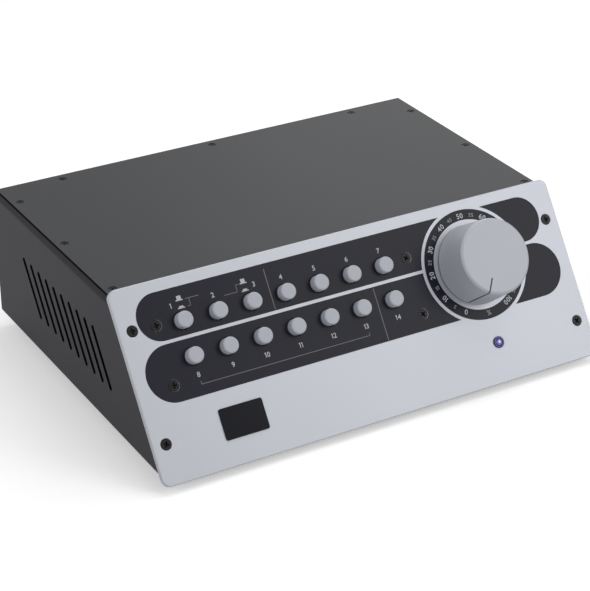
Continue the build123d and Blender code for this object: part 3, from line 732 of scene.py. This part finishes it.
lens_violet = finish(
    "lens_violet", (0.13, 0.11, 0.55), roughness=0.12, grain=1.0 * mm, depth=0.001 * mm, gloss=0.8
)
tree = lens_violet.node_tree
shader = tree.nodes["Principled BSDF"]
shader.inputs["Coat Weight"].default_value = 1.0
shader.inputs["Emission Color"].default_value = (0.62, 0.60, 1.0, 1)
lens_tip = panel_place @ Vector((*lamp_place, lens_dome))
where = tree.nodes.new("ShaderNodeTexCoord")
apart = tree.nodes.new("ShaderNodeVectorMath")
apart.operation = "DISTANCE"
apart.inputs[1].default_value = lens_tip + core_highlight_offset
core = tree.nodes.new("ShaderNodeMapRange")
core.interpolation_type = "SMOOTHSTEP"
core.inputs["From Min"].default_value, core.inputs["From Max"].default_value = core_inner, core_outer
core.inputs["To Min"].default_value, core.inputs["To Max"].default_value = core_glow, 0.0
tree.links.new(where.outputs["Object"], apart.inputs[0])
tree.links.new(apart.outputs["Value"], core.inputs["Value"])
tree.links.new(core.outputs["Result"], shader.inputs["Emission Strength"])
collar_dark = finish(
    "collar_dark", (0.035, 0.025, 0.08), metallic=0.6, roughness=0.25, grain=0.6 * mm, depth=0.001 * mm
)
lamp_seat = panel_place @ shift(*lamp_place, 0)
profile = [(lens_radius * cos(radians(a)), lens_dome * sin(radians(a))) for a in range(90, -1, -10)]
profile[0] = (0, lens_dome)
profile += [(lens_radius, -lens_depth), (0, -lens_depth)]
mesh = turned(profile, 48)
mesh.transform(lamp_seat)
fixed(piece("lamp_lens", mesh, lens_violet), "power_lamp")
wall = lens_radius + collar_gap
loop = [(wall, collar_height - lip), (wall + lip, collar_height)]
loop += arc(collar_radius - collar_roll, collar_height - collar_roll, collar_roll, 90, 0, 6)
mesh = turned(loop + [(collar_radius, 0), (wall, 0)], 64, closed=True)
mesh.transform(lamp_seat)
fixed(piece("lamp_collar", mesh, collar_dark), "lamp_bezel")


# ---- Badge plate ----
# A thin plate with rounded corners and a soft edge, in glossy black plastic. It is glued to the panel's lower
# left, and is bare.

badge_width, badge_height, badge_corner = 30.7 * mm, 20.2 * mm, 1.5 * mm
badge_thickness, badge_edge = 0.8 * mm, 0.2 * mm

badge_black = finish("badge_black", (0.005, 0.0055, 0.009), roughness=0.3, depth=0.001 * mm, gloss=0.1)
x, y, _ = on_panel("badge_plate")
mesh = cut_sheet([rounded(badge_width, badge_height, badge_corner)], badge_thickness, badge_edge)
mesh.transform(panel_place @ shift(x, y, badge_thickness))
fixed(piece("badge", mesh, badge_black), "badge_plate")


# ---- Case ----
# The tray is folded from 1.5 mm steel sheet, with slanting ventilation slots in its walls. The lid is a flat plate
# on its flanges. Both are powder-coated in a fine dark grey texture, and nine small black screws hold the lid.
# The walls of the slots and the lid's edges are painted near black as painted shade.

wall_outside, wall_depth, wall_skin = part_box("chassis_tray")[1].x, 1.6 * mm, 0.05 * mm
slots_low, slots_high, slots_front, slots_back = 30 * mm, 81 * mm, -80 * mm, 90 * mm
lid_low, lid_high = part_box("lid")
lid_gap = 1.1 * mm
lid_front = lid_low.y + lid_gap
lid_corner, lid_edge, lid_hole_gap, lid_head_sink = 0.5 * mm, 0.2 * mm, 0.3 * mm, 0.3 * mm
lid_screw = (2.3 * mm, 1.3 * mm, 0.9 * mm, 1.5 * mm, 1.1 * mm)
# The screws' rows are set out in millimetres from the panel's lower front edge
front_to_middle, first_row, row_pitch, rear_row, rear_screw_x = 128.37, 82.6, 71.2, 244.4, 116.3


def shape_of(node, edge=0.0):
    """A copy of a node's own shape, its facets merged and its edges a little rounded."""
    mesh = nodes[node].data.copy()
    shape = bmesh.new()
    shape.from_mesh(mesh)
    bmesh.ops.remove_doubles(shape, verts=shape.verts, dist=0.002 * mm)
    if edge:
        bmesh.ops.dissolve_limit(shape, angle_limit=radians(1), verts=shape.verts, edges=shape.edges)
    shape.to_mesh(mesh)
    shape.free()
    if edge:
        blank = placed("blank", mesh)
        round_off = blank.modifiers.new("edges", "BEVEL")
        round_off.width, round_off.segments = edge, 2
        round_off.limit_method, round_off.angle_limit = "ANGLE", radians(40)
        round_off.use_clamp_overlap, round_off.miter_outer = True, "MITER_ARC"
        mesh = settled(blank)
        bpy.data.objects.remove(blank)
    return mesh


def dressed(node, name, material, edge=0.0, angle=25.0, body="case", mesh=None):
    """A node's own shape, or a mesh made from it, as the piece that stands in for it, its bends smooth."""
    return fixed(piece(name, mesh or shape_of(node, edge), material, angle), node, body)


# The slot walls that this picks are painted near black as painted shade.
def in_slot(face):
    """Whether a face of the tray is a wall of one of its slots."""
    x, y, z = face.center
    in_wall = wall_outside - wall_depth < abs(x) < wall_outside - wall_skin and abs(face.normal.x) < 0.3
    return in_wall and slots_low < z < slots_high and slots_front < y < slots_back


# Two copies of the one powder coat. The tray's, with far less gloss, is a shaded copy that paints its walls darker
# than the lid as painted shade, and the lid's is the lit copy.
powder_grey_shaded_copy = finish(
    "powder_grey_shaded_copy", (0.040, 0.0392, 0.0455), roughness=0.42, grain=0.45 * mm, depth=0.02 * mm, gloss=0.061
)
powder_grey_lit_copy = finish(
    "powder_grey_lit_copy", (0.034, 0.0355, 0.0385), roughness=0.4, grain=0.45 * mm, depth=0.02 * mm, gloss=0.158
)
# Near black, as painted shade in the slots' walls and on the lid's edges, where the dark seam falls.
painted_shade_black = finish("painted_shade_black", (0.002, 0.002, 0.002), roughness=0.9, grain=0.5 * mm, gloss=0.05)
tray = dressed("chassis_tray", "folded_tray", powder_grey_shaded_copy)
# The slots' walls take the near-black painted shade.
coated(tray.data, powder_grey_shaded_copy, painted_shade_black, in_slot)

lid_screw_rows = [(first_row + row_pitch * row - front_to_middle) * mm for row in range(3)]
lid_screws = [(side * side_screw_x, y) for y in lid_screw_rows for side in (-1, 1)]
lid_screws += [(x * mm, (rear_row - front_to_middle) * mm) for x in (-rear_screw_x, 0, rear_screw_x)]
outline = rounded(lid_high.x - lid_low.x, lid_high.y - lid_front, lid_corner, 0, (lid_high.y + lid_front) / 2)
holes = [circle(place, lid_screw[0] + lid_hole_gap, 32) for place in lid_screws]
mesh = cut_sheet([outline] + holes, lid_high.z - lid_low.z, lid_edge)
mesh.transform(shift(0, 0, lid_high.z))
# The lid's edges take the near-black painted shade, for the dark seam along the tray's bends.
coated(mesh, powder_grey_lit_copy, painted_shade_black, lambda face: abs(face.normal.z) < 0.3)
fixed(piece("lid_plate", mesh), "lid")
sunk = shift(0, 0, lid_high.z - lid_head_sink)
screwed("lid_screw_heads", screw_mesh(*lid_screw), lid_screws, sunk)


# ---- Rear panel ----
# A 2 mm steel plate in the same powder coat, with a flange at its top that the lid is screwed to. Six small
# pan-head screws hold it to the tray's lips.

rear_face_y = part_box("rear_panel")[1].y
pan_screw = (2.9 * mm, 1.7 * mm, 0.7 * mm, 1.7 * mm, 0.9 * mm)
rear_screws = [(side * side_screw_x, z * mm) for side in (1, -1) for z in (24.0, 58.0, 92.0)]


def on_back(x, z):
    """A place on the rear panel's outer face: local x runs left, y up, and z out to the back."""
    place = Matrix(((-1, 0, 0), (0, 0, 1), (0, 1, 0))).to_4x4()
    place.translation = (x, rear_face_y, z)
    return place


def pan_screw_mesh(radius, height, width, across, recess):
    """A domed head with a cross recess, standing on z = 0."""
    profile = [(0, height)]
    profile += [(radius * sin(radians(a)), height * (0.35 + 0.65 * cos(radians(a)))) for a in range(20, 90, 14)]
    profile += [(radius, height * 0.25), (radius, 0), (0, 0)]
    return without(turned(profile, 32), [cross_mesh(width, across, recess, height)])


dressed("rear_panel", "rear_plate", powder_grey_shaded_copy)
middle = on_back(0, 0)
screwed("rear_screw_heads", pan_screw_mesh(*pan_screw), rear_screws, middle)


# ---- XLR sockets ----
# Eight three-pin sockets in a row. Each is a black-plated die-cast shell with a raised collar round a deep well,
# three gold-plated pins with rounded tips, and two countersunk screws through its flange.

xlr_flange_width, xlr_flange_height, xlr_flange_corner, xlr_edge = 26.0 * mm, 31.0 * mm, 1.6 * mm, 0.25 * mm
xlr_plate, collar_top, collar_foot, xlr_collar_radius, soft = 1.4 * mm, 2.2 * mm, 1.0 * mm, 11.6 * mm, 0.3 * mm
xlr_well_radius, xlr_well_depth, xlr_well_wall, xlr_well_floor = 8.1 * mm, 12.8 * mm, 1.2 * mm, 0.4 * mm
xlr_body_width, xlr_body_depth, xlr_body_corner, xlr_body_gap = 21.5 * mm, 20.0 * mm, 1.0 * mm, 0.9 * mm
key_width, key_height, key_sink, key_lift = 1.8 * mm, 1.4 * mm, 0.5 * mm, 0.2 * mm
xlr_screw = (1.7 * mm, 1.0 * mm, 0.5 * mm, 1.1 * mm, 0.7 * mm)
xlr_screw_hole, xlr_head_sink, can_edge = 1.75 * mm, 0.05 * mm, 0.2 * mm
xlr_screw_places = ((-9.6 * mm, 12.2 * mm), (9.6 * mm, -12.2 * mm))
pin_radius, pin_top, pin_circle = 1.2 * mm, 0.7 * mm, 4.2 * mm


def box_mesh(x, y, z, at=(0, 0, 0)):
    """A plain block about a middle."""
    shape = bmesh.new()
    bmesh.ops.create_cube(shape, size=1.0, matrix=shift(*at) @ Matrix.Diagonal((x, y, z, 1)))
    return written(shape)


def in_row(node, count, width):
    """The middles of like sockets in a row, as places on the back."""
    low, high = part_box(node)
    first, last = low.x + width / 2, high.x - width / 2
    return [(-(first + (last - first) * number / (count - 1)), (low.z + high.z) / 2) for number in range(count)]


def slab(width, height, corner, thickness, edge, top=0.0, cuts=()):
    """The mesh of a plate with round corners and soft edges, its face at a height."""
    mesh = cut_sheet([rounded(width, height, corner), *cuts], thickness, edge)
    mesh.transform(shift(0, 0, top))
    return mesh


satin_black = finish("satin_black", (0.018, 0.018, 0.019), metallic=0.2, roughness=0.38, depth=0.006 * mm)
gold_plate = finish(
    "gold_plate", (0.75, 0.55, 0.22), metallic=1.0, roughness=0.28, grain=0.4 * mm, depth=0.001 * mm
)
holes = [circle((0, 0), xlr_well_radius, 48)] + [circle(place, xlr_screw_hole, 24) for place in xlr_screw_places]
plate = slab(xlr_flange_width, xlr_flange_height, xlr_flange_corner, xlr_plate, xlr_edge, xlr_plate, holes)
well_outside = xlr_well_radius + xlr_well_wall
loop = [(xlr_well_radius, collar_top - soft), (xlr_well_radius + soft, collar_top)]
loop += [(xlr_collar_radius - 2 * soft, collar_top), (xlr_collar_radius, xlr_plate)]
loop += [(xlr_collar_radius - soft, collar_foot), (well_outside, 0)]
loop += [(well_outside, -xlr_well_depth), (xlr_well_radius, -xlr_well_depth)]
floor_top = -xlr_well_depth + xlr_well_floor
disc = [(0, floor_top), (xlr_well_radius, floor_top), (xlr_well_radius, -xlr_body_depth), (0, -xlr_body_depth)]
key_place = (0, xlr_well_radius - key_sink, -xlr_well_depth / 2 + key_lift)
key = box_mesh(key_width, key_height, xlr_well_depth, key_place)
bore = circle((0, 0), xlr_well_radius + xlr_body_gap, 48)
can = slab(xlr_body_width, xlr_body_width, xlr_body_corner, xlr_body_depth, can_edge, cuts=[bore])
item = joined([plate, turned(loop, 48, closed=True), turned(disc, 48), key, can])
xlr_places = in_row("xlr_shells", 8, xlr_flange_width)
fixed(repeated("xlr_shells_cast", item, xlr_places, middle, satin_black), "xlr_shells")

tip = [(pin_radius * sin(radians(a)), pin_top - pin_radius * (1 - cos(radians(a)))) for a in (30, 60, 90)]
item = turned([(0, pin_top)] + tip + [(pin_radius, -xlr_well_depth), (0, -xlr_well_depth)], 16)
three_pins = ((-pin_circle, 0), (pin_circle, 0), (0, -pin_circle))
pin_places = [(x + a, z + b) for x, z in xlr_places for a, b in three_pins]
fixed(repeated("xlr_contact_pins", item, pin_places, middle, gold_plate), "xlr_pins")
head_places = [(x + a, z + b, xlr_plate - xlr_head_sink) for x, z in xlr_places for a, b in xlr_screw_places]
screwed("xlr_screw_heads", screw_mesh(*xlr_screw), head_places, middle)


# ---- D-shaped sockets ----
# Three 25-way sockets. A nickel-plated steel flange is drawn out into a D-shaped shroud, a black insert in it
# holds two rows of contacts, and hexagonal jack posts beside it take the plug's screws.

dsub_width, dsub_height, dsub_flange, dsub_corner, dsub_edge = 53.0 * mm, 12.5 * mm, 1.0 * mm, 2.0 * mm, 0.2 * mm
dsub_body_width, dsub_body_height, dsub_body_depth, dsub_body_corner = 41 * mm, 11 * mm, 10 * mm, 1.0 * mm
shroud_width, shroud_height, shroud_length, shroud_wall = 38.4 * mm, 7.9 * mm, 6.0 * mm, 0.5 * mm
shroud_corner, shroud_inner_corner, insert_corner = 2.4 * mm, 2.0 * mm, 1.9 * mm
shroud_edge, insert_edge, post_edge = 0.1 * mm, 0.15 * mm, 0.25 * mm
insert_gap, insert_sink, insert_floor = 2.4 * shroud_wall, 0.3 * mm, 0.5 * mm
contact_pitch, contact_rows, contact_radius = 2.76 * mm, 1.42 * mm, 0.62 * mm
post_reach, post_across, post_length, thread_radius = 23.5 * mm, 5.0 * mm, 5.5 * mm, 1.5 * mm


def d_outline(width, height, radius):
    """A closed D-shaped loop: a trapezoid, wider at its top, with round corners."""
    slope = height / 2 * 0.176
    a, b, c = width / 2 - radius, width / 2 - 2 * slope - radius, height / 2 - radius
    loop = arc(a, c, radius, -10, 90, 6) + arc(-a, c, radius, 90, 190, 6)
    return loop + arc(-b, -c, radius, 190, 270, 6) + arc(b, -c, radius, 270, 350, 6)


plated_nickel = finish(
    "plated_nickel", (0.52, 0.51, 0.48), metallic=1.0, roughness=0.3, grain=0.4 * mm, depth=0.002 * mm
)
mouth = d_outline(shroud_width - 2 * shroud_wall, shroud_height - 2 * shroud_wall, shroud_inner_corner)
shroud = cut_sheet([d_outline(shroud_width, shroud_height, shroud_corner), mouth], shroud_length, shroud_edge)
shroud.transform(shift(0, 0, dsub_flange + shroud_length))
flange = slab(dsub_width, dsub_height, dsub_corner, dsub_flange, dsub_edge, dsub_flange)
back_can = slab(dsub_body_width, dsub_body_height, dsub_body_corner, dsub_body_depth, dsub_edge)
dsub_places = in_row("dsub_sockets", 3, dsub_width)
item = joined([flange, shroud, back_can])
fixed(repeated("dsub_shells", item, dsub_places, middle, plated_nickel), "dsub_sockets")
contacts = [((n - 6) * contact_pitch, contact_rows) for n in range(13)]
contacts += [((n - 5.5) * contact_pitch, -contact_rows) for n in range(12)]
insert_outline = d_outline(shroud_width - insert_gap, shroud_height - insert_gap, insert_corner)
holes = [circle(place, contact_radius, 10) for place in contacts]
insert = cut_sheet([insert_outline] + holes, shroud_length - insert_floor, insert_edge)
insert.transform(shift(0, 0, dsub_flange + shroud_length - insert_sink))
fixed(repeated("dsub_inserts", insert, dsub_places, middle, black_moulding))
post_outlines = [circle((0, 0), post_across / sqrt(3), 6), circle((0, 0), thread_radius, 24)]
post = cut_sheet(post_outlines, post_length, post_edge)
post.transform(shift(0, 0, dsub_flange + post_length))
post_places = [(x + side * post_reach, z) for x, z in dsub_places for side in (-1, 1)]
fixed(repeated("dsub_jack_posts", post, post_places, middle, plated_nickel), "dsub_posts")


# ---- Mains inlet ----
# An appliance inlet moulded in black plastic, with a deep well whose upper corners are cut off, and three flat
# blades in it. Two countersunk screws hold its flange.

inlet_low, inlet_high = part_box("mains_inlet")
inlet_place = on_back((inlet_low.x + inlet_high.x) / 2, (inlet_low.z + inlet_high.z) / 2)
inlet_width, inlet_height, inlet_flange = 50.0 * mm, 23.0 * mm, 3.0 * mm
inlet_corner, inlet_edge = 3.0 * mm, 0.5 * mm
well_width, well_height, well_cut, well_floor = 24.2 * mm, 16.4 * mm, 4.5 * mm, -13.0 * mm
sleeve_width, sleeve_height, sleeve_corner, sleeve_depth = 27.3 * mm, 19.9 * mm, 1.5 * mm, 21.0 * mm
floor_width, floor_height, floor_corner = 26 * mm, 18.5 * mm, 1.0 * mm
floor_thickness, floor_edge = 2.0 * mm, 0.1 * mm
inlet_screw = (3.1 * mm, 1.8 * mm, 0.8 * mm, 1.9 * mm, 1.1 * mm)
inlet_screw_hole, inlet_head_sink = 3.2 * mm, 0.2 * mm
inlet_screw_places = [(side * 20.0 * mm, 0) for side in (-1, 1)]
a, b, c = well_width / 2, well_height / 2, well_cut
well = [(-a, -b), (a, -b), (a, b - c), (a - c, b), (-a + c, b), (-a, b - c)]
holes = [well] + [circle(place, inlet_screw_hole, 32) for place in inlet_screw_places]
mesh = joined([
    slab(inlet_width, inlet_height, inlet_corner, inlet_flange, inlet_edge, inlet_flange, holes),
    slab(sleeve_width, sleeve_height, sleeve_corner, sleeve_depth, can_edge, cuts=[well]),
    slab(floor_width, floor_height, floor_corner, floor_thickness, floor_edge, well_floor),
])
mesh.transform(inlet_place)
fixed(piece("inlet_moulding", mesh, black_moulding), "mains_inlet")
dressed("inlet_blades", "inlet_flat_blades", plated_nickel, edge=0.3 * mm)
sunk = inlet_place @ shift(0, 0, inlet_flange - inlet_head_sink)
screwed("inlet_screw_heads", screw_mesh(*inlet_screw), inlet_screw_places, sunk)


# ---- Power switch ----
# A black rocker that tips on two pivot pins in a snap-in housing. A bar and a ring in white on its two halves
# show which way is on and which is off.

dressed("power_switch", "switch_housing_rear", black_moulding, edge=0.35 * mm)
rocker = dressed("power_rocker", "rocker", black_moulding, edge=0.4 * mm, body="rocker")
white_print = ink("white_print", (0.75, 0.75, 0.75))
half_bar, bar_width, sign_ring_outer, sign_ring_inner = 1.5 * mm, 0.7 * mm, 1.8 * mm, 1.2 * mm
least_area = 20 * mm * mm
faces = [face for face in rocker.data.polygons if face.normal.y > 0.8 and face.area > least_area]
upper_face, lower_face = max(faces, key=lambda face: face.center.z), min(faces, key=lambda face: face.center.z)
bar_sign = cut_sheet([bar((0, -half_bar), (0, half_bar), bar_width)], print_thickness)
rims = [circle((0, 0), radius, 32) for radius in (sign_ring_outer, sign_ring_inner)]
signs = []
for face, sign in ((upper_face, bar_sign), (lower_face, cut_sheet(rims, print_thickness))):
    across, outward = Vector((-1, 0, 0)), face.normal.copy()
    place = Matrix((across, outward.cross(across), outward)).transposed().to_4x4()
    place.translation = face.center + outward * print_thickness
    sign.transform(place)
    signs.append(sign)
fixed(piece("rocker_signs", joined(signs), white_print), body="rocker")


# ---- Feet and underside ----
# Four square rubber feet, moulded with slanting sides and soft edges, each held by a screw sunk deep in it.
# Pan-head screws hold the main board's spacers, and a bolt with a hexagonal head comes up through the transformer.

half_foot, foot_edge, half_spacer = 10.0 * mm, 0.8 * mm, 3.0 * mm
recess_radius, recess_depth, recess_flare, recess_clear = 4.4 * mm, 5.0 * mm, 0.3 * mm, 0.5 * mm
foot_screw = (3.4 * mm, 2.0 * mm, 0.8 * mm, 1.9 * mm, 1.1 * mm)
floor_screw = (2.9 * mm, 1.8 * mm, 0.7 * mm, 1.7 * mm, 0.9 * mm)
half_across, bolt_head, bolt_edge = 6.5 * mm, 5.0 * mm, 0.5 * mm
washer_radius, washer_thickness, washer_edge = 9.3 * mm, 1.5 * mm, 0.3 * mm


def four_under(node, half_width):
    """The middles of four like pieces at the corners of a node's box, as seen from underneath."""
    low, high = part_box(node)
    ys = (low.y + half_width, high.y - half_width)
    return [(x, -y) for x in (low.x + half_width, high.x - half_width) for y in ys]


rubber = finish("rubber", (0.022, 0.022, 0.022), roughness=0.85, grain=0.5 * mm, depth=0.03 * mm, gloss=0.3)
underneath = Matrix(((1, 0, 0), (0, -1, 0), (0, 0, -1))).to_4x4()
foot_places = four_under("rubber_feet", half_foot)
recess = [(0, recess_clear), (recess_radius + recess_flare, recess_clear)]
recess += [(recess_radius, -recess_depth), (0, -recess_depth)]
cutters = [turned(recess, 32) for _ in foot_places]
for cutter, place in zip(cutters, foot_places):
    cutter.transform(underneath @ shift(*place, 0))
feet = without(shape_of("rubber_feet", foot_edge), cutters)
dressed("rubber_feet", "moulded_feet", rubber, mesh=feet)
heads = [(x, y, -recess_depth) for x, y in foot_places]
screwed("foot_screw_heads", pan_screw_mesh(*foot_screw), heads, underneath, None, plated_steel)
case_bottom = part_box("chassis_tray")[0].z
heads = [(x, y, -case_bottom) for x, y in four_under("main_board_spacers", half_spacer)]
screwed("floor_screw_heads", pan_screw_mesh(*floor_screw), heads, underneath, None, black_steel)
bolt_low, bolt_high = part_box("transformer_clamp")
under_bolt = underneath @ shift((bolt_low.x + bolt_high.x) / 2, -(bolt_low.y + bolt_high.y) / 2, -case_bottom)
bolt = cut_sheet([circle((0, 0), half_across / cos(pi / 6), 6)], bolt_head, bolt_edge)
bolt.transform(under_bolt @ shift(0, 0, washer_thickness + bolt_head))
rim = [(washer_radius - washer_edge, washer_thickness), (washer_radius, washer_thickness - washer_edge)]
washer = turned([(0, washer_thickness)] + rim + [(washer_radius, 0), (0, 0)], 48)
washer.transform(under_bolt)
fixed(piece("floor_bolt", joined([bolt, washer]), plated_steel))


# ---- Transformer ----
# A ring core wound with wire and wrapped all over with overlapping turns of yellow tape. A steel plate and a bolt
# through its hole hold it down on the case's floor.

ring_low, ring_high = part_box("toroid")
core_outer, core_inner, core_height = (ring_high.x - ring_low.x) / 2, 12.2 * mm, ring_high.z - ring_low.z
core_round, tape_turns, tape_step, steps_per_turn = 8.0 * mm, 54, 0.45 * mm, 6
wound_tape = finish(
    "wound_tape", (0.50, 0.33, 0.06), roughness=0.35, grain=3.0 * mm, depth=0.05 * mm, uneven=0.12
)
middle_r, middle_z = (core_outer + core_inner) / 2, core_height / 2
section = rounded(core_outer - core_inner, core_height, core_round, middle_r, middle_z)
rings = []
for step in range(tape_turns * steps_per_turn):
    a = 2 * pi * step / (tape_turns * steps_per_turn)
    ring = []
    for number, (r, z) in enumerate(section):
        lap = (step / steps_per_turn + 2 * number / len(section)) % 1.0
        inset = Vector((middle_r - r, middle_z - z)).normalized() * tape_step * lap
        ring.append(((r + inset.x) * cos(a), (r + inset.x) * sin(a), z + inset.y))
    rings.append(ring)
mesh = skinned(rings, closed=True)
mesh.transform(shift((ring_low.x + ring_high.x) / 2, (ring_low.y + ring_high.y) / 2, ring_low.z))
fixed(piece("wound_core", mesh, wound_tape, 40), "toroid")
dressed("transformer_clamp", "transformer_plate_and_bolt", plated_steel, edge=0.4 * mm)


# ---- Supply and relays ----
# Two upright capacitors in dark blue sleeves with scored aluminium tops, a black finned bar, and a row of white
# sealed relays with soft edges. They stand soldered to the main board.

can_low, can_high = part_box("capacitors")
can_radius, can_height = (can_high.x - can_low.x) / 2 - 0.1 * mm, can_high.z - can_low.z
can_places = [((can_low.x + can_high.x) / 2, y) for y in (can_low.y + can_radius, can_high.y - can_radius)]
shrunk_rim = ((0, -0.6), (7.2, -0.6), (7.4, -0.1), (8.0, 0), (8.6, -0.5))
top_radius, top_thickness, top_sink = 7.1 * mm, 0.4 * mm, 0.3 * mm
score_length, score_width, score_height = 9 * mm, 0.4 * mm, 0.5 * mm
sleeve_blue = finish("sleeve_blue", (0.012, 0.02, 0.06), roughness=0.25, grain=0.6 * mm, depth=0.004 * mm)
can_top = finish("can_top", (0.42, 0.43, 0.44), metallic=1.0, roughness=0.4, grain=0.4 * mm, depth=0.003 * mm)
relay_white = finish("relay_white", (0.62, 0.62, 0.58), roughness=0.45, grain=0.5 * mm, depth=0.004 * mm)
heatsink_black = finish("heatsink_black", (0.025, 0.025, 0.027), metallic=0.6, depth=0.004 * mm)
sleeve = [(r * mm, can_height + z * mm) for r, z in shrunk_rim]
sleeve += [(can_radius, can_height - 1.4 * mm), (can_radius, 3.4 * mm), (can_radius - 0.7 * mm, 2.6 * mm)]
sleeve += [(can_radius, 1.8 * mm), (can_radius, 0.2 * mm), (can_radius - 0.2 * mm, 0), (0, 0)]
standing = shift(0, 0, can_low.z)
cans = repeated("capacitor_sleeves", turned(sleeve, 48), can_places, standing, sleeve_blue)
fixed(cans, "capacitors")
scores = ((score_length, score_width), (score_width, score_length))
disc = turned([(0, 0), (top_radius, 0), (top_radius, -top_thickness), (0, -top_thickness)], 48)
item = without(disc, [box_mesh(x, y, score_height) for x, y in scores])
places = [(x, y, can_height - top_sink) for x, y in can_places]
fixed(repeated("capacitor_tops", item, places, standing, can_top))
dressed("relays", "sealed_relays", relay_white, edge=0.5 * mm)
dressed("heatsink", "finned_bar", heatsink_black, edge=0.15 * mm)


# ---- Boards ----
# The control board with its switches behind the panel, and the main board on its spacers. They are closed in by
# the case, and keep their plain shapes in their own finishes.

board_green = finish(
    "board_green", (0.012, 0.09, 0.035), roughness=0.35, grain=1.2 * mm, depth=0.01 * mm, uneven=0.2
)
plain("switch_housings", black_moulding)
for node in ("board_spacers", "main_board_spacers"):
    plain(node, plated_steel)
for node in ("control_board", "main_board"):
    plain(node, board_green)
